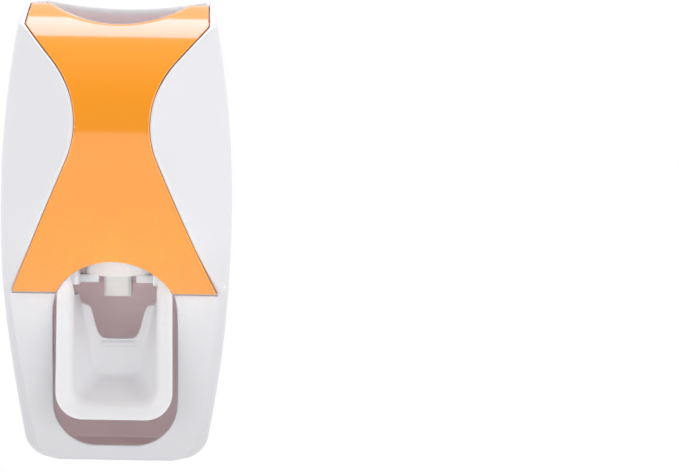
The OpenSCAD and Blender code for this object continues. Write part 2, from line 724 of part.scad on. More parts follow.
module piston_seal() hung() color([0.25, 0.25, 0.27]) up(stem_top - 2 * groove_h + seat_gap / 2)
    difference() {
        cylinder(r = pump_bore_r - run_gap, h = groove_h - seat_gap);
        translate([0, 0, -wall]) cylinder(r = groove_r + seat_gap / 2, h = groove_h + 2 * wall);
    }

spigot_h = 3.5;
spigot_r = 2.8;
slot_h = nozzle_h - spigot_h - 0.6;
module nozzle() hung() color([0.9, 0.88, 0.86, 0.8]) difference() {
    union() {
        up(drum_z - nozzle_h) intersection() {
            translate([-nozzle_w / 2, -nozzle_w / 2, 0]) cube([nozzle_w, nozzle_w, nozzle_h - seat_gap / 2]);
            cylinder(r = nozzle_w * 0.64, h = nozzle_h);
        }
        // Lug that stops the nozzle turning
        up(drum_z - 1.7) translate([-1.5, -nozzle_w / 2 - 0.6, 0]) cube([1.6, 1, 1.7 - seat_gap / 2]);
    }
    up(drum_z - spigot_h - seat_gap) cylinder(r = spigot_r + seat_gap / 5, h = 2 * spigot_h);
    up(drum_z - nozzle_h - wall) cylinder(r = 2.3, h = nozzle_h);
}

module outlet_valve() hung() color([0.8, 0.8, 0.82]) up(drum_z - nozzle_h + 0.4) difference() {
    cylinder(r1 = 1.2, r2 = 2.2, h = slot_h - 0.2);
    translate([0, 0, 0.6]) cylinder(r1 = 0.4, r2 = 1.5, h = slot_h);
    translate([-0.8, -0.1, -wall]) cube([1.6, 0.2, 2 * wall]);
}

// Return spring: one unbroken round wire between the drum's floor and the nut
spring_foot = drum_z + drum_wall + wire_r + 0.1;
spring_head = shelf_z - nut_h - wire_r - 0.1;
ring_steps = 14;
wire_sides = 6;
module return_spring() hung() color("silver") up(0) {
    n = spring_turns * ring_steps;
    rise = (spring_head - spring_foot) / n;
    rings = [for (i = [0:n]) let (t = 360 * i / ring_steps) [for (k = [0:wire_sides - 1])
        let (u = 360 * k / wire_sides, r = spring_r + wire_r * cos(u))
        [r * cos(t), r * sin(t), spring_foot + rise * i + wire_r * sin(u)]]];
    points = [for (ring = rings) for (p = ring) p];
    side = [for (i = [0:n - 1]) for (k = [0:wire_sides - 1])
        let (a = i * wire_sides + k, b = i * wire_sides + (k + 1) % wire_sides,
             c = a + wire_sides, d = b + wire_sides)
        each [[a, b, d], [a, d, c]]];
    ends = [[for (k = [wire_sides - 1:-1:0]) k], [for (k = [0:wire_sides - 1]) n * wire_sides + k]];
    polyhedron(points, concat(side, ends));
}

// Squeeze cup
rim_t = 3.4;
rim_top_half = 19.7;
rim_top = hinge_z - 7;
cheek_z = 59;
// Right half of an outline with a rounded lower corner, up to one or two points of its side
function rounded_half(half, low, r, grow, side) = concat(
    [for (a = [0:10:90]) [half - r + (r + grow) * sin(a), low + r - (r + grow) * cos(a)]],
    [for (p = side) [p.x + grow, p.y]]);
function standing(half, depth) = [for (p = mirrored(half)) [p.x, -depth, p.y]];

module rim_outline() difference() {
    polygon(mirrored(rounded_half(rim_half, rim_z, rim_r, 0, [[rim_top_half, rim_top]])));
    // Clear of the panel's arch
    difference() {
        translate([-far, panel_z - 3]) square([2 * far, far]);
        arch(-0.8);
    }
}
// Outline of the tub on its way from the back wall, t = 0, to the mouth, t = 1, a little full
function tub_half(t, grow, top = cup_top) = let (u = t + 0.06 * sin(180 * t), side = mouth_half - 0.4 * (1 - u))
    rounded_half(mix(back_half, mouth_half, u), mix(back_z, mouth_z, u), mix(3, mouth_r, u), grow,
        [[side, notch_top], [side, top]]);
mouth_depth = rim_depth - rim_slope;
tub_mid = 0.45;
module tub(grow, back, front) {
    slab(standing(tub_half(0, grow), back), standing(tub_half(tub_mid, grow), mix(back, front, tub_mid)));
    slab(standing(tub_half(tub_mid, grow), mix(back, front, tub_mid)), standing(tub_half(1, grow), front));
}
bar_top = drum_z - move_gap * 0.7;
cheek_front = rim_depth - 1.6;
web_front = rim_depth - 2.1;

module tub_inside() {
    tub(0, back_depth, mouth_depth);
    // Funnel into it from the rim, up to the rim's top
    slab(standing(tub_half(1, -0.2, rim_top + wall), mouth_depth - 0.5),
        standing(tub_half(1, rim_half - mouth_half + 0.4, rim_top + wall), rim_depth + 0.5));
}

module squeeze_cup() hung() color([0.91, 0.91, 0.93]) difference() {
    union() {
        // Rim
        between(rim_depth - rim_t, rim_depth) rim_outline();
        // Tapered tub
        tub(cup_wall, back_depth - cup_wall, rim_depth - rim_t / 2);
        // Cheeks with the hinge bosses and the ears of the fork
        both_sides() {
            translate([cheek_in, 0, 0]) rotate([90, 0, 90]) linear_extrude(cheek_t) {
                polygon([[-cheek_front, cheek_z - 6], [-cheek_front + 5, cheek_z - 6], [-cheek_front + 8, ear_z],
                    [-ear_back, ear_z], [-ear_back, bar_top + 2.5], [-ear_back - 5, bar_top + 4.5],
                    [-hinge_depth + boss_r, hinge_z], [-hinge_depth, hinge_z + boss_r],
                    [-hinge_depth - boss_r * 0.8, hinge_z], [-cheek_front, hinge_z - 8]]);
                translate([-hinge_depth, hinge_z]) circle(boss_r);
            }
            translate([cheek_in, -hinge_depth, hinge_z]) rotate([0, 90, 0])
                cylinder(r = boss_r, h = hinge_boss_out - cheek_in);
            translate([cheek_in, 0, 0]) rotate([90, 0, 90]) linear_extrude(hinge_boss_out - cheek_in)
                polygon([[-web_front, cheek_z], [-web_front, hinge_z - 8], [-hinge_depth - 2.4, hinge_z],
                    [-hinge_depth, hinge_z], [-web_front + 2.2, hinge_z - 8], [-web_front + 2.2, cheek_z]]);
            // Fork bar with its round nose
            translate([fork_half, -hinge_depth + nose_reach - 4, bar_top - bar_h])
                cube([cheek_in - fork_half + 0.5, 4, bar_h]);
            translate([fork_half, -hinge_depth + nose_reach, bar_top - nose_r]) rotate([0, 90, 0])
                cylinder(r = nose_r, h = cheek_in - fork_half + 0.5);
        }
    }
    // Inside of the tub, with the ridge on its back wall
    difference() {
        tub_inside();
        translate([-ridge_half, -back_depth - ridge_out, notch_z - 0.3 - ridge_h])
            cube([2 * ridge_half, ridge_out + wall, ridge_h]);
    }
    // Open above the side walls and between the cheeks
    translate([-cheek_in, -far, cup_top]) cube([2 * cheek_in, far - ear_back - 10, far]);
    translate([-far, -ear_back - 6, cup_top]) cube([2 * far, far, ear_z - cup_top]);
    // Notch in the back wall
    between(0, back_depth + 3) polygon(mirrored([[notch_half - 2, notch_z], [notch_half + 0.5, notch_z + 0.6],
        [notch_half + 2.4, mix(notch_z, notch_top, 0.33)], [notch_top_half, notch_top + 0.1]]));
    between(0, back_depth + 3) translate([-mouth_half, notch_top]) square([2 * mouth_half, cup_top]);
    translate([-far, -hinge_depth, hinge_z]) rotate([0, 90, 0]) cylinder(r = bore_r, h = 2 * far);
}
ear_z = 62;
ear_back = hinge_depth - nose_reach - 1.5;

// Hinge shaft with a head groove at each end, and its two clips
clip_t = shaft_r / 2;
shaft_half = arm_in + arm_t + 1.6 * shaft_r;
groove_bite = 0.27 * shaft_r;
clip_x = arm_in + arm_t + seat_gap;
module hinge_shaft() hung() color("silver") difference() {
    translate([-shaft_half, -hinge_depth, hinge_z]) rotate([0, 90, 0]) cylinder(r = shaft_r, h = 2 * shaft_half);
    both_sides() translate([clip_x, -hinge_depth, hinge_z]) rotate([0, 90, 0]) difference() {
        cylinder(r = 2 * shaft_r, h = clip_t + seat_gap);
        translate([0, 0, -wall]) cylinder(r = shaft_r - groove_bite, h = clip_t + 2 * wall);
    }
}

module shaft_clips() hung() color("silver") both_sides()
    translate([clip_x + seat_gap / 2, -hinge_depth, hinge_z]) rotate([0, 90, 0]) difference() {
        cylinder(r = 2 * shaft_r, h = clip_t);
        translate([0, 0, -wall]) cylinder(r = shaft_r - groove_bite + seat_gap / 2, h = clip_t + 2 * wall);
        translate([0, -0.67 * shaft_r, -wall]) cube([4 * shaft_r, 1.33 * shaft_r, clip_t + 2 * wall]);
    }

wall_plate();
adhesive_pads();
rear_shell();
front_shell();
front_panel();
shell_screws();
pump_chassis();
chassis_screws();
pump_cylinder();
cylinder_nut();
inlet_valve();
tube_adapter();
tube_collar();
plunger();
piston_seal();
return_spring();
nozzle();
outlet_valve();
squeeze_cup();
hinge_shaft();
shaft_clips();
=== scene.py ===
"""Wall-hung toothpaste dispenser with a squeeze cup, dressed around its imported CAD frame."""
import math

import bmesh
import bpy
from mathutils import Matrix, Vector


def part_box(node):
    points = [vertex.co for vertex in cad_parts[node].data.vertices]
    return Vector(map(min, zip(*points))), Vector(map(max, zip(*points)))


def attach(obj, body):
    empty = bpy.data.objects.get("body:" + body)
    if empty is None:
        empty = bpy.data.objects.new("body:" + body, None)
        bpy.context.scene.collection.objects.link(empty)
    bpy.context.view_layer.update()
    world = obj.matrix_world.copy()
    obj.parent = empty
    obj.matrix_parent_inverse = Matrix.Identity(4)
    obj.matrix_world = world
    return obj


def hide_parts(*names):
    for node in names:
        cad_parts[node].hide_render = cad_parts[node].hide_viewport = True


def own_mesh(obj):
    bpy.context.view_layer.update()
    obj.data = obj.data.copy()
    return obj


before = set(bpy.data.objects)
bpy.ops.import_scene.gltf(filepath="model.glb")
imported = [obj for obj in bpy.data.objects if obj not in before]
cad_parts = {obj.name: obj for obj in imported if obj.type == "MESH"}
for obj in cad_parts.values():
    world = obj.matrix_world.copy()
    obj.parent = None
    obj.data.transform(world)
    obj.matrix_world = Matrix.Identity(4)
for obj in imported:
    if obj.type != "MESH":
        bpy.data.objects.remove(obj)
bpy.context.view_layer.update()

# Camera: level with the upper part of the dispenser, a metre away and seven degrees above it,
# turned by a degree, as the photograph was taken.
ORIGIN_HEIGHT = 114.0                 # height of the wall plate's middle above the foot, in mm
CAMERA_DISTANCE = 1.0                 # from the point in the picture's middle, in m
FOCAL_PIXELS, PICTURE_WIDTH, SENSOR_WIDTH = 2852.0, 679.0, 36.0
view_target = Vector((78.24, -38.5, 81.76 - ORIGIN_HEIGHT)) / 1000
view_rise, view_roll = math.radians(7.0), math.radians(0.978)
look = Vector((0, math.cos(view_rise), -math.sin(view_rise)))
level_up = Vector((0, math.sin(view_rise), math.cos(view_rise)))
level_right = Vector((1, 0, 0))
right = level_right * math.cos(view_roll) + level_up * math.sin(view_roll)
up = level_up * math.cos(view_roll) - level_right * math.sin(view_roll)
camera_data = bpy.data.cameras.new("photo_camera")
camera_data.sensor_fit = "HORIZONTAL"
camera_data.sensor_width = SENSOR_WIDTH
camera_data.lens = FOCAL_PIXELS / PICTURE_WIDTH * SENSOR_WIDTH
camera_data.clip_start = 0.01
camera = bpy.data.objects.new("photo_camera", camera_data)
bpy.context.scene.collection.objects.link(camera)
axes = Matrix((right, up, -look)).transposed().to_4x4()
axes.translation = view_target - look * CAMERA_DISTANCE
camera.matrix_world = axes
bpy.context.scene.camera = camera
bpy.context.scene.view_settings.view_transform = "Standard"


# Studio: a white room, dimmer above the camera's height. A long softbox overhead draws the bright
# band on the panel, soft lamps stand left, right and low in front, and the page behind is white.
def linear(hex_colour):
    """An sRGB colour such as "#FFA02E" as linear red, green, blue and a full alpha."""
    parts = [int(hex_colour[i:i + 2], 16) / 255 for i in (1, 3, 5)]
    return tuple(c / 12.92 if c <= 0.04045 else ((c + 0.055) / 1.055) ** 2.4 for c in parts) + (1.0,)


def add_node(tree, kind, links=(), **settings):
    """Adds a node; a setting is a socket's value or the node's own, and links are (socket, output)."""
    made = tree.nodes.new(kind)
    for key, value in settings.items():
        if hasattr(made, key):
            setattr(made, key, value)
        else:
            socket = int(key[1:]) if key[0] == "_" else key.replace("_", " ")
            made.inputs[socket].default_value = value
    for socket, output in links:
        tree.links.new(made.inputs[socket], output)
    return made


world = bpy.data.worlds.new("studio_sweep")
bpy.context.scene.world = world
world.use_nodes = True
sky = world.node_tree
sky.nodes.clear()
heading = add_node(sky, "ShaderNodeTexCoord")
way = add_node(sky, "ShaderNodeSeparateXYZ", [(0, heading.outputs["Generated"])])
# The room dims from 11 to 14 degrees up, where the panel's lower half starts to mirror the wall
above = add_node(sky, "ShaderNodeMapRange", [(0, way.outputs["Z"])], From_Min=0.19, From_Max=0.24)
in_front = add_node(sky, "ShaderNodeMapRange", [(0, way.outputs["Y"])],
                    From_Min=0.10, From_Max=0.40, To_Min=1.0, To_Max=0.0)
above_in_front = add_node(sky, "ShaderNodeMath", [(0, above.outputs[0]), (1, in_front.outputs[0])],
                          operation="MULTIPLY")
lit_level = add_node(sky, "ShaderNodeMapRange", [(0, above.outputs[0])], To_Min=1.0, To_Max=0.46)
ceiling = add_node(sky, "ShaderNodeMapRange", [(0, way.outputs["Z"])],
                   From_Min=0.7, From_Max=1.0, To_Min=0.22, To_Max=0.5)
mirrored_level = add_node(sky, "ShaderNodeMix", [(0, above_in_front.outputs[0]), (3, ceiling.outputs[0])],
                          data_type="FLOAT", _2=1.0)
ray = add_node(sky, "ShaderNodeLightPath")
level = add_node(sky, "ShaderNodeMix", [(0, ray.outputs["Is Glossy Ray"]), (2, lit_level.outputs[0]),
                                        (3, mirrored_level.outputs[0])], data_type="FLOAT")
room_light = add_node(sky, "ShaderNodeBackground", [("Strength", level.outputs[0])],
                      Color=linear("#FFFFFF"))
white_page = add_node(sky, "ShaderNodeBackground", Color=linear("#FFFFFF"), Strength=1.0)
page_or_room = add_node(sky, "ShaderNodeMixShader",
                        [(0, ray.outputs["Is Camera Ray"]), (1, room_light.outputs[0]),
                         (2, white_page.outputs[0])])
add_node(sky, "ShaderNodeOutputWorld", [("Surface", page_or_room.outputs[0])])


def soft_lamp(name, place, aim, size, power):
    """An area lamp of a size in metres that looks at a point of the dispenser."""
    data = bpy.data.lights.new(name, "AREA")
    data.shape = "RECTANGLE"
    data.size, data.size_y = size
    data.energy = power
    lamp = bpy.data.objects.new(name, data)
    bpy.context.scene.collection.objects.link(lamp)
    lamp.location = place
    lamp.rotation_euler = (Vector(aim) - Vector(place)).to_track_quat("-Z", "Y").to_euler()
    return lamp


OVERHEAD_SIZE, OVERHEAD_AIM = (1.9, 0.50), (0.0, -0.05, 0.03)
SIDE_SIZE, SIDE_AIM = (0.9, 0.9), (0, -0.04, -0.03)
overhead = soft_lamp("overhead_softbox", (0.0, 0.28, 1.22), OVERHEAD_AIM, OVERHEAD_SIZE, 13.6)
overhead.visible_glossy = False
# The same softbox as the gloss sees it, cooler than the room
strip = soft_lamp("cool_reflected_strip", (0.0, 0.281, 1.221), OVERHEAD_AIM, OVERHEAD_SIZE, 12.2)
strip.data.color = (0.78, 0.65, 1.0)
strip.visible_diffuse = False
soft_lamp("left_softbox", (-1.25, -1.05, 0.48), SIDE_AIM, SIDE_SIZE, 4.85)
soft_lamp("right_softbox", (1.25, -1.05, 0.48), SIDE_AIM, SIDE_SIZE, 6.7)
low_front = soft_lamp("low_front_softbox", (0.1, -1.3, -0.45), (0, -0.04, -0.05), (1.6, 0.7), 2.5)
low_front.visible_glossy = False
# A small card lamp throws a narrow beam up into the arch over the cup
card = soft_lamp("arch_card", (0.01, -0.40, -0.19), (0.0, -0.036, -0.041), (0.04, 0.008), 0.0016)
card.data.spread = math.radians(9.0)
card.visible_camera = card.visible_glossy = False

# Floor: matt white paper a metre under the dispenser, which hangs on a wall that isn't shown. The
# camera and the gloss see it as the white page.
FLOOR_HALF, FLOOR_HEIGHT = 4.0, -1.0
floor_mesh = bpy.data.meshes.new("studio_floor")
floor_mesh.from_pydata([(x * FLOOR_HALF, y * FLOOR_HALF, FLOOR_HEIGHT)
                        for x, y in ((-1, -1), (1, -1), (1, 1), (-1, 1))], [], [(0, 1, 2, 3)])
floor = bpy.data.objects.new("studio_floor", floor_mesh)
bpy.context.scene.collection.objects.link(floor)
paper = bpy.data.materials.new("matt_white_paper")
paper.use_nodes = True
tree = paper.node_tree
tree.nodes.clear()
lit_paper = add_node(tree, "ShaderNodeBsdfDiffuse", Color=linear("#F4F4F4"))
page_paper = add_node(tree, "ShaderNodeEmission", Color=linear("#FFFFFF"), Strength=1.0)
ray = add_node(tree, "ShaderNodeLightPath")
seen = add_node(tree, "ShaderNodeMath",
                [(0, ray.outputs["Is Camera Ray"]), (1, ray.outputs["Is Glossy Ray"])], operation="MAXIMUM")
seen = add_node(tree, "ShaderNodeMath",
                [(0, seen.outputs[0]), (1, ray.outputs["Is Transmission Ray"])], operation="MAXIMUM")
paper_mix = add_node(tree, "ShaderNodeMixShader", [(0, seen.outputs[0]), (1, lit_paper.outputs[0]),
                                                   (2, page_paper.outputs[0])])
add_node(tree, "ShaderNodeOutputMaterial", [("Surface", paper_mix.outputs[0])])
floor_mesh.materials.append(paper)

# Front shell: the white half of the body with its two hollow wings, a lip round the panel, a window
# for the cup and a rounded foot. Injection-moulded ABS, screwed to the rear shell from behind.
# Sizes in mm: heights are above the foot, depths are in front of the wall, halves from the middle.
BODY_HEIGHT = 161.0
WIDEST_HALF, WIDEST_HEIGHT, WIDEST_DEPTH = 40.5, 91.0, 38.5
TOP_HALF, FOOT_HALF, CORNER = 33.4, 31.4, 7.6
SPLIT_DEPTH = 26.0                                   # where the front shell meets the rear shell
FRONT_DRAFT = math.tan(math.radians(2.5))
CROWN_DEPTH, CROWN_HEIGHT, TOP_DEPTH = 64.3, 111.0, 28.7
PANEL_FOOT, PANEL_FOOT_DEPTH, LEDGE_DEPTH, FOOT_DEPTH = 61.2, 46.0, 43.6, 37.0
WALL, PANEL_THICK, SEAT = 2.0, 2.0, 0.15
LIP, LIP_STEP, LIP_CLIMB = 1.2, 0.3, 16.0
FOOT_ROUND, WING_ROUND = 1.2, 6.0


def arc_radius(run, fall):
    """Radius of an arc that falls by an amount over a run from its top."""
    return (run * run + fall * fall) / (2 * fall)


def arc_fall(radius, run):
    """How far an arc has fallen at a run from its top."""
    return radius - math.sqrt(max(0.0, radius * radius - run * run))


def blend(a, b, t):
    """The value a share t of the way from a to b."""
    return a + (b - a) * t


UPPER_SIDE = arc_radius(BODY_HEIGHT - WIDEST_HEIGHT, WIDEST_HALF - TOP_HALF)
LOWER_SIDE = arc_radius(WIDEST_HEIGHT, WIDEST_HALF - FOOT_HALF)
UPPER_FACE = arc_radius(BODY_HEIGHT - CROWN_HEIGHT, CROWN_DEPTH - TOP_DEPTH)
LOWER_FACE = arc_radius(CROWN_HEIGHT - PANEL_FOOT, CROWN_DEPTH - PANEL_FOOT_DEPTH)
HOLLOW = arc_radius(PANEL_FOOT, LEDGE_DEPTH - FOOT_DEPTH)


def side_half(z):
    """Half width of the body at a height."""
    radius = UPPER_SIDE if z > WIDEST_HEIGHT else LOWER_SIDE
    half = WIDEST_HALF - arc_fall(radius, abs(z - WIDEST_HEIGHT))
    return half - (arc_fall(CORNER, CORNER - z) if z < CORNER else 0.0)


def face_depth(z, inset=0.0):
    """Depth of the panel's outer face at a height, or of a surface that lies inset behind it."""
    radius = UPPER_FACE if z > CROWN_HEIGHT else LOWER_FACE
    reach = (radius - inset) ** 2 - (z - CROWN_HEIGHT) ** 2
    return CROWN_DEPTH - radius + math.sqrt(max(0.0, reach))


def low_depth(z):
    """Depth of the white front below the panel, hollow to the ledge and rounded at the foot."""
    rounding = arc_fall(FOOT_ROUND, FOOT_ROUND - z) if z < FOOT_ROUND else 0.0
    return FOOT_DEPTH + arc_fall(HOLLOW, z) - rounding


WAIST_HALF, WAIST_HEIGHT, WAIST_RADIUS = 12.95, 121.5, 31.5
LOW_FLANK, TOP_FLANK = math.radians(23.0), math.radians(42.5)
SHOULDER_HALF, SHOULDER_DROP, SHOULDER_TAPER = 32.2, 10.0, 0.12


def panel_half(z):
    """Half width of the hourglass panel at a height."""
    middle = WAIST_HALF + WAIST_RADIUS
    rise = z - WAIST_HEIGHT
    if rise > WAIST_RADIUS * math.sin(TOP_FLANK):
        flank = middle + (rise * math.sin(TOP_FLANK) - WAIST_RADIUS) / math.cos(TOP_FLANK)
    elif rise < -WAIST_RADIUS * math.sin(LOW_FLANK):
        flank = middle + (-rise * math.sin(LOW_FLANK) - WAIST_RADIUS) / math.cos(LOW_FLANK)
    else:
        flank = middle - math.sqrt(WAIST_RADIUS ** 2 - rise ** 2)
    if z < CROWN_HEIGHT:
        return flank
    return min(flank, SHOULDER_HALF - SHOULDER_TAPER * max(0.0, z - BODY_HEIGHT + SHOULDER_DROP))


def lip_drop(z):
    """How far the white lip lies behind the panel's face: the whole ledge at its foot, then a step."""
    return blend(PANEL_FOOT_DEPTH - LEDGE_DEPTH, LIP_STEP, min(1.0, (z - PANEL_FOOT) / LIP_CLIMB))


def white_depth(z):
    """Depth of the foremost white surface at a height."""
    return low_depth(z) if z < PANEL_FOOT else face_depth(z) - lip_drop(z)


# Width of the bevel at the foot and of the narrowest wing, the wing's least fall towards the side
# wall, and how far in front of the widest depth it may end
FOOT_BEVEL, WING_LEAST, WING_FALL, CORNER_LIFT = 5.0, 1.0, 1.5, 2.7


def wing_edge(z):
    """Half width at which the white front turns into the wing or, lower down, into the bevel."""
    if z < PANEL_FOOT:
        at_ledge = side_half(PANEL_FOOT) - panel_half(PANEL_FOOT) - LIP
        return side_half(z) - blend(FOOT_BEVEL, at_ledge, z / PANEL_FOOT)
    return min(panel_half(z) + LIP, side_half(z) - WING_LEAST)


def draft_half(z, depth):
    """Half width of the side wall at a height and depth, narrower towards the rear by the draft."""
    return side_half(z) - max(0.0, WIDEST_DEPTH - depth) * FRONT_DRAFT


def corner_depth(z):
    """Depth at which the wing's slope turns into the side wall."""
    bevel = side_half(z) - wing_edge(z) if z < PANEL_FOOT else WING_FALL
    return min(WIDEST_DEPTH + CORNER_LIFT, white_depth(z) - bevel)


# The gap round the panel opens at its shoulders, and a groove runs under its foot
SHOULDER_GAP, GAP_START, GAP_CLIMB = 0.5, 131.0, 8.0
GROOVE_TOP, GROOVE_FOOT, GROOVE_DEPTH = PANEL_FOOT - 0.3, PANEL_FOOT - 0.85, 1.0
LIP_ROUND, LIP_LEAST, EDGE_ROUND, POCKET_CLIMB = 0.25, 0.4, 0.7, 4.0
SLIVER = 0.05                                        # the least thickness that a section keeps
ROUND_SHARE = 0.8                                    # how much of a slope its rounding may take up


def outer_section(z):
    """Right half of the shell's outside at a height, from the middle of its front to the split."""
    edge, skin = wing_edge(z), white_depth(z)
    gap = blend(SEAT, SHOULDER_GAP, min(1.0, max(0.0, (z - GAP_START) / GAP_CLIMB)))
    pocket_half = panel_half(z) + gap if z >= PANEL_FOOT else edge - LIP + SEAT
    pocket = min(skin, face_depth(z, PANEL_THICK + SEAT)) if z >= PANEL_FOOT else skin
    if GROOVE_FOOT < z < GROOVE_TOP:
        pocket = skin - GROOVE_DEPTH
    pocket = max(pocket, SPLIT_DEPTH + SLIVER)
    pocket_half = min(pocket_half, edge - LIP_LEAST)
    points = [(pocket_half * i / 8, pocket) for i in range(9)]
    lip_round = min(LIP_ROUND, (edge - pocket_half) / 3)
    drop = min(lip_round, skin - pocket)
    points += [(pocket_half + lip_round * (1 - math.cos(a)), skin - drop * (1 - math.sin(a)))
               for a in (0.0, 0.5, 1.05, 1.57)]
    corner = corner_depth(z)
    far_x = draft_half(z, corner)
    slope = math.atan2(skin - corner, far_x - edge)
    bite = math.tan((math.pi / 2 - slope) / 2)
    length = math.hypot(far_x - edge, skin - corner)
    soft = min(EDGE_ROUND, length / 6, edge - pocket_half - lip_round - SLIVER)
    reach = soft * math.tan(slope / 2)
    points += [(edge - reach + soft * math.sin(slope * t), skin - soft * (1 - math.cos(slope * t)))
               for t in (0.0, 0.25, 0.5, 0.75, 1.0)]
    radius = min(WING_ROUND, ROUND_SHARE * length / bite, ROUND_SHARE * (corner - SPLIT_DEPTH) / bite)
    start = (far_x - radius * bite * math.cos(slope), corner + radius * bite * math.sin(slope))
    last = points[-1]
    points += [(blend(last[0], start[0], i / 12), blend(last[1], start[1], i / 12)) for i in range(1, 12)]
    centre = (far_x - radius, corner - radius * bite)
    points += [(centre[0] + radius * math.sin(blend(slope, math.pi / 2, i / 10)),
                centre[1] + radius * math.cos(blend(slope, math.pi / 2, i / 10))) for i in range(11)]
    low = points[-1][1]
    widest = min(WIDEST_DEPTH, low - 0.2)
    points += [(draft_half(z, blend(low, widest, t)), blend(low, widest, t)) for t in (0.5, 1.0)]
    points += [(draft_half(z, blend(widest, SPLIT_DEPTH, i / 5)), blend(widest, SPLIT_DEPTH, i / 5))
               for i in range(1, 6)]
    return points


def inner_section(z):
    """Right half of the hollow inside the front shell."""
    half = side_half(max(z, CORNER / 2)) - WALL
    behind = PANEL_THICK + SEAT + WALL
    if z < PANEL_FOOT:
        depth = low_depth(max(z, FOOT_ROUND)) - WALL
    else:
        depth = blend(LEDGE_DEPTH - WALL, face_depth(z, behind), min(1.0, (z - PANEL_FOOT) / POCKET_CLIMB))
    depth = max(SPLIT_DEPTH + 0.02, depth)
    edge = min(wing_edge(z), half) - WALL / 2
    corner = max(SPLIT_DEPTH + 0.01, min(corner_depth(z) - WALL / 3, depth - WALL / 4))
    points = [(edge * i / 6, depth) for i in range(7)]
    points += [(blend(edge, half, i / 8), blend(depth, corner, i / 8)) for i in range(1, 9)]
    points += [(blend(half, half - WALL / 4, i / 4), blend(corner, SPLIT_DEPTH - WALL, i / 4))
               for i in range(1, 5)]
    return points


def mesh_piece(name, points, faces, material_list, sharp=35.0):
    """A mesh from points in mm above the body's foot, smooth apart from edges sharper than an angle."""
    mesh = bpy.data.meshes.new(name)
    mesh.from_pydata([(x / 1000, y / 1000, (z - ORIGIN_HEIGHT) / 1000) for x, y, z in points], [], faces)
    shape = bmesh.new()
    shape.from_mesh(mesh)
    bmesh.ops.remove_doubles(shape, verts=shape.verts, dist=2e-6)
    bmesh.ops.dissolve_degenerate(shape, edges=shape.edges, dist=2e-6)
    bmesh.ops.recalc_face_normals(shape, faces=shape.faces)
    shape.to_mesh(mesh)
    shape.free()
    for material in material_list:
        mesh.materials.append(material)
    mesh.shade_smooth()
    mesh.set_sharp_from_angle(angle=math.radians(sharp))
    piece = bpy.data.objects.new(name, mesh)
    bpy.context.scene.collection.objects.link(piece)
    return piece


def loft(sections, closed_ring=True):
    """Faces between rings with the same number of points; the points run on ring after ring."""
    count = len(sections[0])
    faces = []
    for row in range(len(sections) - 1):
        for i in range(count if closed_ring else count - 1):
            a, b = row * count + i, row * count + (i + 1) % count
            faces.append((a, b, b + count, a + count))
    return [p for ring in sections for p in ring], faces


def solid_loft(rings):
    """A loft between closed rings with its first and last ring filled."""
    points, faces = loft(rings)
    count, size = len(rings[0]), len(points)
    return points, faces + [tuple(range(count)), tuple(reversed(range(size - count, size)))]


def both_halves(half):
    """Mirrors half a section, given from the middle outwards, into a run from left to right."""
    return [(-x, d) for x, d in reversed(half[1:])] + list(half)


def steps(low, high, count):
    """Even steps from low to high, with both ends."""
    return [blend(low, high, i / count) for i in range(count + 1)]


def subtract(piece, cutter):
    """Cuts one mesh out of another and leaves only the result."""
    cut = piece.modifiers.new("cut", "BOOLEAN")
    cut.operation, cut.solver, cut.object = "DIFFERENCE", "MANIFOLD", cutter
    depsgraph = bpy.context.evaluated_depsgraph_get()
    result = bpy.data.meshes.new_from_object(piece.evaluated_get(depsgraph))
    piece.modifiers.clear()
    piece.data = result
    bpy.data.objects.remove(cutter)


def resmooth(piece, sharp):
    """Cleans a mesh after a cut and smooths it again, apart from edges sharper than an angle."""
    shape = bmesh.new()
    shape.from_mesh(piece.data)
    bmesh.ops.remove_doubles(shape, verts=shape.verts, dist=3e-6)
    bmesh.ops.recalc_face_normals(shape, faces=shape.faces)
    shape.to_mesh(piece.data)
    shape.free()
    piece.data.shade_smooth()
    piece.data.set_sharp_from_angle(angle=math.radians(sharp))


# White ABS lets daylight through: part of the light travels a few millimetres under its skin. The
# white is painted darker from a height of 84 mm down to 2 mm, as painted shade towards the foot.
WALL_GLOW, GLOW_REACH, GLOW_COLOURS = 0.7, 0.009, (1.0, 0.9, 0.92)
PAINTED_FOOT_SHADE, PAINTED_SHADE_TOP, PAINTED_SHADE_FOOT = 0.81, -0.030, -0.112


def with_painted_foot_shade(tree, place, colour_output):
    """The colour darkened by painted shade towards the shell's foot."""
    spot = add_node(tree, "ShaderNodeSeparateXYZ", [(0, place.outputs["Object"])])
    foot_shade = add_node(tree, "ShaderNodeMapRange", [(0, spot.outputs["Z"])],
                    From_Min=PAINTED_SHADE_TOP, From_Max=PAINTED_SHADE_FOOT, To_Min=1.0, To_Max=PAINTED_FOOT_SHADE)
    return add_node(tree, "ShaderNodeVectorMath", [(0, colour_output), (3, foot_shade.outputs[0])],
                    operation="SCALE").outputs[0]


# Sink and flow waves of the moulding are about 14 mm across. The tool's fine polish haze is drawn
# 0.8 mm across, and changes the roughness by less than a hundredth.
ABS_IOR, FLOW_WAVES, POLISH_HAZE, HAZE_DEPTH = 1.52, 70.0, 1250.0, 0.007


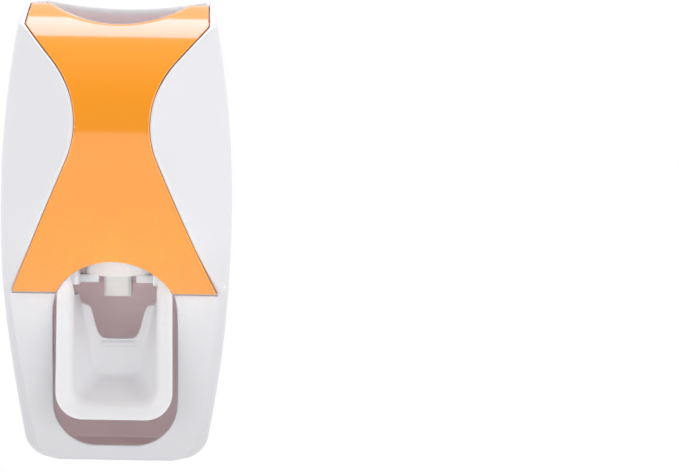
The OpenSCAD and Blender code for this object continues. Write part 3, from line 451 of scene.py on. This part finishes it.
def moulded_abs(name, colour, roughness, coat=0.6, speckle=0.004, glow=0.0, polish=1.5, paint_foot_shade=False):
    """Injection-moulded ABS, glossy or satin: a smooth skin, faintly wavy from the cooling part."""
    material = bpy.data.materials.new(name)
    material.use_nodes = True
    tree = material.node_tree
    tree.nodes.clear()
    place = add_node(tree, "ShaderNodeTexCoord")
    waves = add_node(tree, "ShaderNodeTexNoise", [("Vector", place.outputs["Object"])],
                     Scale=FLOW_WAVES, Detail=2.0)
    haze = add_node(tree, "ShaderNodeTexNoise", [("Vector", place.outputs["Object"])],
                    Scale=POLISH_HAZE, Detail=3.0)
    rough = add_node(tree, "ShaderNodeMapRange", [(0, haze.outputs[0])], From_Min=0.3, From_Max=0.7,
                     To_Min=roughness * (1 - HAZE_DEPTH), To_Max=roughness * (1 + HAZE_DEPTH))
    full = linear(colour)
    shade = add_node(tree, "ShaderNodeMix", [("Factor", waves.outputs[0])], data_type="RGBA")
    shade.inputs[6].default_value = tuple(c * (1 - 2 * speckle) for c in full[:3]) + (1.0,)
    shade.inputs[7].default_value = tuple(min(1.0, c * (1 + 2 * speckle)) for c in full[:3]) + (1.0,)
    bump = add_node(tree, "ShaderNodeBump", [("Height", waves.outputs[0])], Strength=0.02, Distance=0.0004)
    # Painted shade: the colour darkens towards the foot
    base = with_painted_foot_shade(tree, place, shade.outputs[2]) if paint_foot_shade else shade.outputs[2]
    skin = add_node(tree, "ShaderNodeBsdfPrincipled",
                    [("Base Color", base), ("Roughness", rough.outputs[0]),
                     ("Normal", bump.outputs[0])],
                    IOR=ABS_IOR, Coat_Weight=coat, Coat_Roughness=0.06, Coat_IOR=polish,
                    Subsurface_Weight=glow, Subsurface_Scale=GLOW_REACH, Subsurface_Radius=GLOW_COLOURS)
    add_node(tree, "ShaderNodeOutputMaterial", [("Surface", skin.outputs[0])])
    return material


# Polished outside, unpolished inside, whose darker mauve is painted shade
SHELL_WHITE, PAINTED_SHADE_MAUVE = "#EBEBEF", "#EED3D6"
white_abs = moulded_abs("white_moulded_abs", SHELL_WHITE, 0.28, coat=0.3, speckle=0.001, paint_foot_shade=True)
painted_shade_inner_abs = moulded_abs("unpolished_abs_painted_shade", PAINTED_SHADE_MAUVE, 0.5, coat=0.0, glow=WALL_GLOW)

heights = ([blend(0.0, CORNER, 1 - math.cos(math.radians(a))) for a in range(0, 90, 6)]
           + steps(CORNER, GROOVE_FOOT - 0.3, 40)
           + [GROOVE_FOOT, GROOVE_FOOT + 0.02, GROOVE_TOP - 0.02, GROOVE_TOP, PANEL_FOOT - 0.02]
           + steps(PANEL_FOOT, CROWN_HEIGHT, 50)
           + [CROWN_HEIGHT + (BODY_HEIGHT - CROWN_HEIGHT) * math.sin(math.pi / 2 * i / 60)
              for i in range(1, 61)])
outside = [[(x, -d, z) for x, d in both_halves(outer_section(z))] for z in heights]
front_shell = mesh_piece("front_shell_skin", *solid_loft(outside), [white_abs, painted_shade_inner_abs])
inner_heights = [max(WALL, z) for z in heights if z > WALL] + [BODY_HEIGHT + 2.0]
inside = [[(x, -d, z) for x, d in both_halves(inner_section(min(z, BODY_HEIGHT)))]
          for z in inner_heights]
hollow = mesh_piece("shell_hollow", *solid_loft(inside), [white_abs, painted_shade_inner_abs])
# The hollow's faces get the inner material's painted shade
for face in hollow.data.polygons:
    face.material_index = 1
subtract(front_shell, hollow)

WINDOW_HALF, WINDOW_FOOT, WINDOW_CORNER, WINDOW_TOP = 21.8, 5.5, 15.0, 74.8
IN_FRONT = 70.0                                      # a depth in front of the whole body


def window_outline(grow):
    """The window's outline, anticlockwise from its lower right corner: (x, z)."""
    right_side = [(WINDOW_HALF - WINDOW_CORNER + (WINDOW_CORNER + grow) * math.sin(a),
                   WINDOW_FOOT + WINDOW_CORNER - (WINDOW_CORNER + grow) * math.cos(a))
                  for a in [math.pi / 2 * i / 24 for i in range(25)]]
    arch_centre = WINDOW_TOP - WINDOW_HALF
    right_side += [(WINDOW_HALF + grow, z) for z in steps(right_side[-1][1], arch_centre, 20)[1:]]
    right_side += [((WINDOW_HALF + grow) * math.cos(a), arch_centre + (WINDOW_HALF + grow) * math.sin(a))
                   for a in [math.pi / 2 * i / 32 for i in range(1, 32)]]
    top = [(0.0, arch_centre + WINDOW_HALF + grow)]
    return right_side + top + [(-x, z) for x, z in reversed(right_side)]


# The window's edge is rounded over by 0.6 mm on the outside. Above the panel's foot the cutter leans
# forwards, clear of the round.
EDGE, CUTTER_FLARE, CUTTER_LEAN = 0.6, 2.0, 0.9
window_rings = [[(x, -(SPLIT_DEPTH - WALL), z) for x, z in window_outline(0.0)]]
for a in (0, 20, 40, 60, 76):
    grow = EDGE * (1 - math.cos(math.radians(a)))
    sink = EDGE * (1 - math.sin(math.radians(a)))
    window_rings.append([(x, -(low_depth(min(max(z, 0.5), PANEL_FOOT)) - sink
                               + max(0.0, z - PANEL_FOOT) * CUTTER_LEAN), z)
                         for x, z in window_outline(grow)])
flared = window_outline(grow + CUTTER_FLARE)
window_rings.append([(x, y - 0.5, z) for (x, z), (_, y, _) in zip(flared, window_rings[-1])])
window_rings.append([(x, -IN_FRONT, z) for x, z in flared])
window_cutter = mesh_piece("window_cutter", *solid_loft(window_rings), [white_abs, painted_shade_inner_abs])
# The window's side walls get the inner material's painted shade
for face in window_cutter.data.polygons:
    face.material_index = int(abs(face.normal.y) < 0.05)
subtract(front_shell, window_cutter)

# The top is scooped out, 0.3 mm deeper in the shell than in the panel before it
SCOOP_HALF, SCOOP_DROP, SCOOP_END, SHELL_LOWER = 24.4, 6.4, 26.0, 0.3
SCOOP_RADIUS = arc_radius(SCOOP_HALF, SCOOP_DROP)


def scoop_height(x, lower=0.0):
    """Height of the scooped top edge at x, or of an edge that runs lower by an amount."""
    return BODY_HEIGHT - SCOOP_DROP + arc_fall(SCOOP_RADIUS + lower, x) - lower


scoop_line = [(x, scoop_height(x, SHELL_LOWER)) for x in steps(-SCOOP_END, SCOOP_END, 60)]
scoop_line += [(SCOOP_END, BODY_HEIGHT + 5), (-SCOOP_END, BODY_HEIGHT + 5)]
scoop_rings = [[(x, -d, z) for x, z in scoop_line] for d in (SPLIT_DEPTH - WALL, IN_FRONT)]
subtract(front_shell, mesh_piece("scoop_cutter", *solid_loft(scoop_rings), [white_abs, painted_shade_inner_abs]))
resmooth(front_shell, 32.0)
even_shading = front_shell.modifiers.new("even_shading", "WEIGHTED_NORMAL")
even_shading.keep_sharp = True
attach(front_shell, "housing")
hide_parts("front_shell")

# Front panel: an hourglass sheet, bent to one curve, scooped at the top and arched over the cup, with
# rounded edges. Injection-moulded orange ABS, polished so that it mirrors the softbox in a sharp band,
# and clipped into the front shell by four hooks.
orange_abs = moulded_abs("orange_moulded_abs", "#FF9C08", 0.16, coat=1.0, polish=1.65)
ARCH_HALF, ARCH_RISE = 20.4, 12.0
ARCH_RADIUS = arc_radius(ARCH_HALF, ARCH_RISE)


def panel_foot(x):
    """Height of the panel's lower edge at x, arched over the cup."""
    if abs(x) >= ARCH_HALF:
        return PANEL_FOOT
    return PANEL_FOOT + ARCH_RISE - arc_fall(ARCH_RADIUS, x)


def panel_top(x):
    """Height of the panel's upper edge at x."""
    return scoop_height(x) if abs(x) < SCOOP_HALF else BODY_HEIGHT


def spread(keys, gap):
    """Even steps no longer than gap between key values, which are all kept."""
    line = [keys[0]]
    for a, b in zip(keys, keys[1:]):
        line += steps(a, b, max(1, math.ceil((b - a) / gap)))[1:]
    return line


foot_share = ARCH_HALF / panel_half(PANEL_FOOT)
top_share = SCOOP_HALF / panel_half(BODY_HEIGHT)
shares = spread([0.0, foot_share, top_share, 1.0], 0.028)
shares = [-s for s in reversed(shares[1:])] + shares
rise = spread([0.0, 1.0], 0.009)
# Each column of the sheet keeps its share of the panel's half width. Height and half width depend on
# each other, so x settles over a few rounds from a first guess.
FIRST_HALF = 25.0
sheet = []
for t in rise:
    row = []
    for share in shares:
        x = share * FIRST_HALF
        for _ in range(30):
            z = blend(panel_foot(x), panel_top(x), t)
            x = blend(x, share * panel_half(z), 0.7)
        row.append((x, blend(panel_foot(x), panel_top(x), t)))
    sheet.append(row)
outer = [[(x, -face_depth(z), z) for x, z in row] for row in sheet]
inner = [[(x, -max(SPLIT_DEPTH + 0.1, face_depth(z, PANEL_THICK)), z) for x, z in row]
         for row in sheet]
points, faces = loft(outer, closed_ring=False)
inner_points, inner_faces = loft(inner, closed_ring=False)
offset, wide, tall = len(points), len(shares), len(rise)
points += inner_points
faces += [tuple(offset + i for i in reversed(face)) for face in inner_faces]
rim = ([i for i in range(wide)] + [row * wide + wide - 1 for row in range(1, tall)]
       + [(tall - 1) * wide + i for i in range(wide - 2, -1, -1)]
       + [row * wide for row in range(tall - 2, 0, -1)])
faces += [(rim[i], offset + rim[i], offset + rim[(i + 1) % len(rim)], rim[(i + 1) % len(rim)])
          for i in range(len(rim))]
front_panel = mesh_piece("front_panel_skin", points, faces, [orange_abs], 40.0)
edge_round = front_panel.modifiers.new("edge_round", "BEVEL")
edge_round.width, edge_round.segments, edge_round.limit_method = 0.0005, 3, "ANGLE"
edge_round.angle_limit = math.radians(50)
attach(front_panel, "housing")
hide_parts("front_panel")

# Rear shell: the other half of the body, open at the top for the tube, with the recess that slides
# over the wall plate. Moulded in the same ABS, glossy outside and unpolished inside; the inside's
# darker mauve is painted shade, and a band under its top edge is a painted highlight.
rear_abs = bpy.data.materials.new("moulded_abs_painted_inner_shade")
rear_abs.use_nodes = True
tree = rear_abs.node_tree
tree.nodes.clear()
place = add_node(tree, "ShaderNodeTexCoord")
spot = add_node(tree, "ShaderNodeSeparateXYZ", [(0, place.outputs["Object"])])
facing = add_node(tree, "ShaderNodeSeparateXYZ", [(0, place.outputs["Normal"])])
# A side wall's outer face looks away from the middle, the back's looks at the wall, the floor's down
sideways = add_node(tree, "ShaderNodeMath", [(0, spot.outputs["X"]), (1, facing.outputs["X"])],
                    operation="MULTIPLY")
side_out = add_node(tree, "ShaderNodeMath", [(0, sideways.outputs[0])], _1=0.012, operation="GREATER_THAN")
back_out = add_node(tree, "ShaderNodeMath", [(0, facing.outputs["Y"])], _1=0.6, operation="GREATER_THAN")
floor_out = add_node(tree, "ShaderNodeMath", [(0, facing.outputs["Z"])], _1=-0.6, operation="LESS_THAN")
top_edge = add_node(tree, "ShaderNodeMath", [(0, spot.outputs["Z"]), (1, facing.outputs["Z"])],
                    operation="MULTIPLY")
edge_out = add_node(tree, "ShaderNodeMath", [(0, top_edge.outputs[0])], _1=0.02, operation="GREATER_THAN")
# Painted highlight: the inner face is painted white from 2.6 to 0.9 mm under its top edge, which dips by 2.8
# mm at x = 0
across = add_node(tree, "ShaderNodeMath", [(0, spot.outputs["X"]), (1, spot.outputs["X"])],
                  operation="MULTIPLY")
dipped = add_node(tree, "ShaderNodeMath", [(0, across.outputs[0]), (2, spot.outputs["Z"])], _1=-3.45,
                  operation="MULTIPLY_ADD")
painted_highlight_top = add_node(tree, "ShaderNodeMapRange", [(0, dipped.outputs[0])],
                      From_Min=0.0416, From_Max=0.0433)
outer_or_highlit_face = side_out
for side in (back_out, floor_out, edge_out, painted_highlight_top):
    outer_or_highlit_face = add_node(tree, "ShaderNodeMath", [(0, outer_or_highlit_face.outputs[0]), (1, side.outputs[0])],
                          operation="MAXIMUM")
# Painted shade: faces inside take the darker mauve, the rest the white
painted_inner_shade = add_node(tree, "ShaderNodeMix", [("Factor", outer_or_highlit_face.outputs[0])], data_type="RGBA")
painted_inner_shade.inputs[6].default_value = linear(PAINTED_SHADE_MAUVE)
shell_white = add_node(tree, "ShaderNodeRGB")
shell_white.outputs[0].default_value = linear(SHELL_WHITE)
# Painted shade: the outside's white darkens towards the foot, as on the front shell
tree.links.new(painted_inner_shade.inputs[7], with_painted_foot_shade(tree, place, shell_white.outputs[0]))
polish = add_node(tree, "ShaderNodeMapRange", [(0, outer_or_highlit_face.outputs[0])], To_Min=0.5, To_Max=0.28)
waves = add_node(tree, "ShaderNodeTexNoise", [("Vector", place.outputs["Object"])],
                 Scale=FLOW_WAVES, Detail=2.0)
bump = add_node(tree, "ShaderNodeBump", [("Height", waves.outputs[0])], Strength=0.02, Distance=0.0004)
skin = add_node(tree, "ShaderNodeBsdfPrincipled",
                [("Base Color", painted_inner_shade.outputs[2]), ("Roughness", polish.outputs[0]),
                 ("Normal", bump.outputs[0])],
                IOR=ABS_IOR, Subsurface_Weight=WALL_GLOW, Subsurface_Scale=GLOW_REACH,
                Subsurface_Radius=GLOW_COLOURS)
add_node(tree, "ShaderNodeOutputMaterial", [("Surface", skin.outputs[0])])


def finish(node, material):
    """Gives a piece that keeps its CAD form its one material."""
    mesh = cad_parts[node].data
    mesh.materials.clear()
    mesh.materials.append(material)


finish("rear_shell", rear_abs)
# The back wall's upper edge is rounded over towards the bay
BACK_GAP, REAR_DIP, REAR_DIP_HALF = 1.3, 2.8, 28.5
DIP_RADIUS = arc_radius(REAR_DIP_HALF, REAR_DIP)
BEAD = 1.5


def rear_top(x):
    """Height of the back wall's dipped edge at x."""
    return BODY_HEIGHT - REAR_DIP + arc_fall(DIP_RADIUS, x)


bead_rings = []
for x in steps(-REAR_DIP_HALF, REAR_DIP_HALF, 48):
    top, inner_face = rear_top(x) + 0.04, BACK_GAP + WALL + 0.04
    ring = [(x, -BACK_GAP, top - 0.4), (x, -BACK_GAP - 0.1, top - 0.1), (x, -BACK_GAP - 0.4, top)]
    ring += [(x, -(inner_face - BEAD), top), (x, -(inner_face - 0.75 * BEAD), top - 0.12 * BEAD),
             (x, -(inner_face - 0.12 * BEAD), top - 0.75 * BEAD), (x, -inner_face, top - BEAD),
             (x, -inner_face + 0.5, top - BEAD)]
    bead_rings.append(ring)
rear_bead = mesh_piece("rear_shell_bead", *solid_loft(bead_rings), [white_abs], 50.0)
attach(rear_bead, "housing")

# Squeeze cup: a tapered tub behind a sloping rim, with two cheeks that rise to the hinge and a fork
# that lifts the pump's drum. Injection-moulded white ABS with a satin skin, which spreads the light
# softly over the tub. It turns on the steel shaft.
cup_abs = moulded_abs("white_cup_abs", "#EEEEF1", 0.42, coat=0.05, glow=0.08)
CUP_WALL, HINGE_HEIGHT, HINGE_DEPTH, BOSS = 1.8, 76.0, 45.975, 3.6


def soften(rows, times):
    """Cuts the corners of a run of rows of numbers, keeping its two ends."""
    for _ in range(times):
        cut = [rows[0]]
        for a, b in zip(rows, rows[1:]):
            cut += [tuple(blend(p, q, share) for p, q in zip(a, b)) for share in (0.25, 0.75)]
        rows = cut + [rows[-1]]
    return rows


def cup_ring(depth, half, foot, corner, top_half, top):
    """One open U of the cup, from its left top round the foot to its right top."""
    cx, cz = half - corner, foot + corner
    reach, climb = top_half - cx, top - cz
    tilt = math.atan2(reach, climb) - math.asin(min(1.0, corner / math.hypot(reach, climb)))
    # The side touches the corner's circle where the circle faces away from the tilted side
    touch = (cx + corner * math.cos(tilt), cz - corner * math.sin(tilt))
    side = [(blend(top_half, touch[0], i / 26), blend(top, touch[1], i / 26)) for i in range(26)]
    turn = [(cx + corner * math.cos(a), cz - corner * math.sin(a)) for a in steps(tilt, math.pi / 2, 14)]
    foot_line = [(blend(cx, 0.0, i / 7), foot) for i in range(1, 8)]
    half_ring = side + turn + foot_line
    return [(-x, -depth, z) for x, z in half_ring] + [(x, -depth, z) for x, z in reversed(half_ring[:-1])]


# Rows of depth, half width, foot, corner radius, half width at the top, and top
rim_rows = soften([(42.0, 20.5, 16.1, 9.5, 20.1, 69.0), (44.4, 20.5, 16.1, 9.5, 20.1, 69.0),
                   (45.3, 20.5, 16.1, 9.5, 20.1, 69.0), (45.2, 19.6, 17.0, 8.8, 19.3, 69.0),
                   (44.9, 18.6, 17.9, 8.2, 18.3, 69.0)], 3)
tub_rows = soften([(44.9, 18.6, 17.9, 8.2, 18.3, 69.0), (43.8, 16.0, 20.3, 6.8, 15.6, 67.0),
                   (42.2, 14.6, 21.7, 6.0, 14.6, 62.0), (40.6, 14.2, 22.6, 5.8, 14.4, 60.2),
                   (37.5, 13.2, 23.9, 5.4, 14.4, 58.9), (32.0, 10.9, 26.2, 4.6, 14.2, 58.6),
                   (28.6, 9.2, 27.7, 4.2, 14.0, 58.6), (27.0, 8.0, 29.2, 3.8, 13.9, 58.6),
                   (26.95, 6.2, 32.0, 3.0, 12.6, 58.6), (27.0, 3.4, 38.0, 2.0, 7.0, 58.6),
                   (27.0, 0.6, 50.0, 0.4, 1.2, 58.6)], 3)
rings = [cup_ring(*row) for row in rim_rows + tub_rows[1:]]
points, faces = loft(rings, closed_ring=False)
cup = mesh_piece("squeeze_cup_skin", points, faces, [cup_abs], 60.0)
# The skin's normals look out of the tub, so that the wall grows behind it
if max(cup.data.polygons, key=lambda face: face.center.y).normal.y > 0:
    cup.data.flip_normals()
wall_made = cup.modifiers.new("wall", "SOLIDIFY")
wall_made.thickness, wall_made.offset, wall_made.use_even_offset = CUP_WALL / 1000, -1.0, False
depsgraph = bpy.context.evaluated_depsgraph_get()
shelled = bpy.data.meshes.new_from_object(cup.evaluated_get(depsgraph))
cup.modifiers.clear()
cup.data = shelled
resmooth(cup, 60.0)
# The back wall's notch: a round-footed opening between two shoulders
notch_half = soften([(0.0, 42.3), (3.8, 42.3), (6.3, 42.8), (7.7, 45.6), (8.6, 49.0), (9.7, 53.1),
                     (10.6, 54.1), (12.2, 54.5), (13.8, 55.6), (14.6, 58.8), (14.6, 62.0)], 2)
notch = notch_half + [(-x, z) for x, z in reversed(notch_half[1:])]
# Its edges flare towards both faces: depth, share of the width, and how much lower
notch_rings = [[(x * s, -d, z - e) for x, z in notch]
               for d, s, e in ((24.0, 1.06, 0.5), (25.4, 1.03, 0.25), (25.9, 1.0, 0.0), (26.6, 1.0, 0.0),
                               (27.15, 1.05, 0.4), (27.9, 1.12, 1.2))]
subtract(cup, mesh_piece("notch_cutter", *solid_loft(notch_rings), [cup_abs]))
# The rim ends 0.3 mm inside the panel's arch
rim_arc, arc_middle = ARCH_RADIUS - 0.3, PANEL_FOOT + ARCH_RISE - ARCH_RADIUS
arch_line = [(rim_arc * math.sin(a), arc_middle + rim_arc * math.cos(a)) for a in steps(-1.35, 1.35, 60)]
arch_line += [(26.0, 56.0), (26.0, 80.0), (-26.0, 80.0), (-26.0, 56.0)]
arch_rings = [[(x, -d, z) for x, z in arch_line] for d in (39.0, 50.0)]
subtract(cup, mesh_piece("arch_cutter", *solid_loft(arch_rings), [cup_abs]))


def plate_of(outline, x0, x1, round_by=0.35):
    """A flat plate between two x, from its outline seen from the side as (depth, z), edges rounded."""
    sides = [[(x, -d, z) for d, z in outline] for x in (x0, x1)]
    plate = mesh_piece("plate", *solid_loft(sides), [cup_abs], 40.0)
    soft = plate.modifiers.new("round", "BEVEL")
    soft.width, soft.segments, soft.limit_method = round_by / 1000, 3, "ANGLE"
    soft.angle_limit = math.radians(30)
    return plate


def circle_of(depth, z, radius, start=0.0, end=360.0, count=40):
    """An arc as (depth, z), in degrees from the front upwards, without its last point."""
    return [(depth + radius * math.cos(math.radians(a)), z + radius * math.sin(math.radians(a)))
            for a in steps(start, end, count)[:-1]]


def join_all(base, others):
    """Makes one object of several, with their modifiers applied."""
    shape = bmesh.new()
    depsgraph = bpy.context.evaluated_depsgraph_get()
    for obj in [base] + others:
        shape.from_mesh(bpy.data.meshes.new_from_object(obj.evaluated_get(depsgraph)))
    base.modifiers.clear()
    shape.to_mesh(base.data)
    shape.free()
    for obj in others:
        bpy.data.objects.remove(obj)


# Each cheek carries a boss on the shaft and a fork bar whose nose lies under the drum, with 0.21 mm
# of play, 17.475 mm behind the hinge
CHEEK_IN, CHEEK_THICK, BOSS_OUT, FORK_HALF, BAR_HEIGHT = 13.1, 3.1, 18.6, 6.6, 2.8
CHEEK_FRONT, CHEEK_FOOT = 41.2, 63.3
BAR_TOP, NOSE_DEPTH = 66.1 - 0.21, HINGE_DEPTH - 17.475
BAR_FOOT, EAR_BACK = BAR_TOP - BAR_HEIGHT, NOSE_DEPTH - 1.5
cheek_outline = [(CHEEK_FRONT, CHEEK_FOOT), (EAR_BACK + 0.6, 62.0), (EAR_BACK, 62.8),
                 (EAR_BACK, BAR_TOP + 2.5), (EAR_BACK + 5.0, BAR_TOP + 4.5),
                 (HINGE_DEPTH - BOSS, HINGE_HEIGHT)]
cheek_outline += list(reversed(circle_of(HINGE_DEPTH, HINGE_HEIGHT, BOSS, 20.0, 160.0, 20)))
cheek_outline += [(HINGE_DEPTH + BOSS * 0.8, HINGE_HEIGHT), (CHEEK_FRONT, HINGE_HEIGHT - 8.0)]
extras = []
for s in (-1, 1):
    extras.append(plate_of(cheek_outline, s * CHEEK_IN, s * (CHEEK_IN + CHEEK_THICK)))
    extras.append(plate_of(circle_of(HINGE_DEPTH, HINGE_HEIGHT, BOSS),
                           s * (CHEEK_IN + 0.2), s * BOSS_OUT, 0.3))
    # The rim's arm reaches up to the boss outside the cheek
    extras.append(plate_of([(43.5, 64.0), (43.5, 68.0), (48.4, 76.0),
                            (45.9, 76.0), (39.8, 68.0), (39.8, 64.0)],
                           s * 15.8, s * (BOSS_OUT - 0.1), 0.3))
    bar = [(NOSE_DEPTH, BAR_FOOT), (NOSE_DEPTH + 4, BAR_FOOT),
           (NOSE_DEPTH + 4, BAR_TOP), (NOSE_DEPTH, BAR_TOP)]
    bar += circle_of(NOSE_DEPTH, BAR_TOP - BAR_HEIGHT / 2, BAR_HEIGHT / 2, 90.0, 270.0, 14)[1:]
    extras.append(plate_of(bar, s * FORK_HALF, s * (CHEEK_IN + 0.5), 0.25))
# The ridge under the notch swells out of the back wall without an edge
RIDGE_HALF, RIDGE_HEIGHT, RIDGE_RISE, RIDGE_TALL = 7.0, 40.4, 0.72, 1.5
RIDGE_FACE, RIDGE_BACK = 26.88, 26.2                 # depths just inside the back wall's face and back


def swell(share, flat):
    """Height of the ridge from 1 on its flat top to 0 at its border."""
    t = max(0.0, abs(share) - flat) / (1 - flat)
    return 0.5 + 0.5 * math.cos(math.pi * t)


ridge_rows = []
for u in steps(-1.0, 1.0, 48):
    x, rise_here = RIDGE_HALF * u, RIDGE_RISE * swell(u, 0.66)
    row = [(x, -(RIDGE_FACE + rise_here * swell(v, 0.1)), RIDGE_HEIGHT + RIDGE_TALL * v)
           for v in steps(-1.0, 1.0, 24)]
    ridge_rows.append(row + [(x, -RIDGE_BACK, RIDGE_HEIGHT + RIDGE_TALL),
                             (x, -RIDGE_BACK, RIDGE_HEIGHT - RIDGE_TALL)])
extras.append(mesh_piece("ridge", *solid_loft(ridge_rows), [cup_abs], 60.0))
join_all(cup, extras)
cup.data.shade_smooth()
cup.data.set_sharp_from_angle(angle=math.radians(42))
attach(cup, "cup")
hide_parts("squeeze_cup")

# Carriers: the chassis with the pump's cylinder, its nut, the tube collar and the wall plate, which
# all keep their CAD form. Satin injection-moulded ABS, hidden behind the panel and the cup.
satin_inner = moulded_abs("satin_chassis_abs", "#E9E6E8", 0.42, coat=0.0, glow=0.3)
for node in ("pump_chassis", "pump_cylinder", "cylinder_nut", "tube_collar", "wall_plate"):
    finish(node, satin_inner)

# Plunger drum: the round end of the pump that shows in the arch and rises when the cup is pushed.
# White ABS, injection-moulded and polished, in its CAD form. It slides in the pump's cylinder.
drum_abs = moulded_abs("polished_drum_abs", "#FCF8F6", 0.3, coat=0.2, glow=0.1)
finish("plunger", drum_abs)

# Soft parts: the adapter that grips the tube's neck, the two valves and the nozzle. Moulded silicone,
# a clear grey that light passes into, with the same smooth skin as the ABS. They are pushed into
# their seats and keep their CAD form.
soft_silicone = moulded_abs("clear_grey_silicone", "#F2EEEC", 0.45, coat=0.0, glow=0.8)
for node in ("tube_adapter", "inlet_valve", "outlet_valve", "nozzle"):
    finish(node, soft_silicone)


# Steel parts, in their CAD form: the ground stainless shaft that the cup turns on, the clips on its
# ends, and the zinc-plated screws that hold the shells and the chassis together.
def simple_finish(name, colour, metallic, roughness, scale, stretch, depth):
    """A metal, rubber or foam skin: fine noise, stretched along the piece, in roughness and bump."""
    material = bpy.data.materials.new(name)
    material.use_nodes = True
    tree = material.node_tree
    tree.nodes.clear()
    place = add_node(tree, "ShaderNodeTexCoord")
    drawn = add_node(tree, "ShaderNodeMapping", [("Vector", place.outputs["Object"])], Scale=stretch)
    grain = add_node(tree, "ShaderNodeTexNoise", [("Vector", drawn.outputs[0])], Scale=scale, Detail=4.0)
    rough = add_node(tree, "ShaderNodeMapRange", [(0, grain.outputs[0])], From_Min=0.3, From_Max=0.7,
                     To_Min=roughness * 0.8, To_Max=min(1.0, roughness * 1.25))
    bump = add_node(tree, "ShaderNodeBump", [("Height", grain.outputs[0])], Strength=0.3, Distance=depth)
    skin = add_node(tree, "ShaderNodeBsdfPrincipled",
                    [("Roughness", rough.outputs[0]), ("Normal", bump.outputs[0])],
                    Base_Color=linear(colour), Metallic=metallic)
    add_node(tree, "ShaderNodeOutputMaterial", [("Surface", skin.outputs[0])])
    return material


EVEN = (1.0, 1.0, 1.0)                               # grain that runs no way in particular
# Its grinding lines run along the shaft, a good millimetre long and 0.2 mm apart
ground_steel = simple_finish("ground_stainless_steel", "#C9CACC", 1.0, 0.28, 900.0, (1.0, 6.0, 6.0), 0.00002)
# Bright zinc with a spangle 0.5 mm across, on screws and spring wire
zinc_steel = simple_finish("zinc_plated_steel", "#BFC2C6", 1.0, 0.36, 2000.0, EVEN, 0.00002)
finish("hinge_shaft", ground_steel)
for node in ("shaft_clips", "shell_screws", "chassis_screws"):
    finish(node, zinc_steel)

# Piston seal: a lip ring of black nitrile rubber on the plunger, moulded, dull with 0.4 mm grain,
# and stretched over its groove.
nitrile = simple_finish("black_nitrile_rubber", "#2C2C2E", 0.0, 0.65, 2500.0, EVEN, 0.00003)
finish("piston_seal", nitrile)

# Adhesive pads: white closed-cell foam tape, die-cut, with cells about 0.6 mm across, stuck on the
# back of the wall plate.
foam = simple_finish("white_foam_tape", "#DEDDD8", 0.0, 0.9, 1600.0, EVEN, 0.0002)
finish("adhesive_pads", foam)

# Return spring: five turns of 1 mm drawn steel wire, zinc plated, between the drum's floor and the
# nut. It is built at rest and rides with the housing, its head on the nut; in use its turns close up by 5.4
# mm as the drum rises.
COIL_RADIUS, WIRE_RADIUS, COIL_TURNS, COIL_TRAVEL, NUT_FACE = 8.7, 0.5, 5, 5.4, -32.1
TURN_STEPS, WIRE_SIDES = 36, 10
low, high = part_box("return_spring")
coil_x, coil_y = 500 * (low[0] + high[0]), 500 * (low[1] + high[1])
coil_foot = 1000 * low[2] + ORIGIN_HEIGHT + WIRE_RADIUS
coil_head = 1000 * high[2] + ORIGIN_HEIGHT - WIRE_RADIUS
wire_rings = []
for i in range(TURN_STEPS * COIL_TURNS + 1):
    turn = math.radians(360 * i / TURN_STEPS)
    height = blend(coil_foot, coil_head, i / (TURN_STEPS * COIL_TURNS))
    ring = []
    for k in range(WIRE_SIDES):
        around = math.radians(360 * k / WIRE_SIDES)
        reach = COIL_RADIUS + WIRE_RADIUS * math.cos(around)
        ring.append((coil_x + reach * math.cos(turn), coil_y + reach * math.sin(turn),
                     height + WIRE_RADIUS * math.sin(around)))
    wire_rings.append(ring)
coil = mesh_piece("return_spring_coil", *solid_loft(wire_rings), [zinc_steel], 50.0)
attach(coil, "housing")
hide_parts("return_spring")
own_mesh(coil)
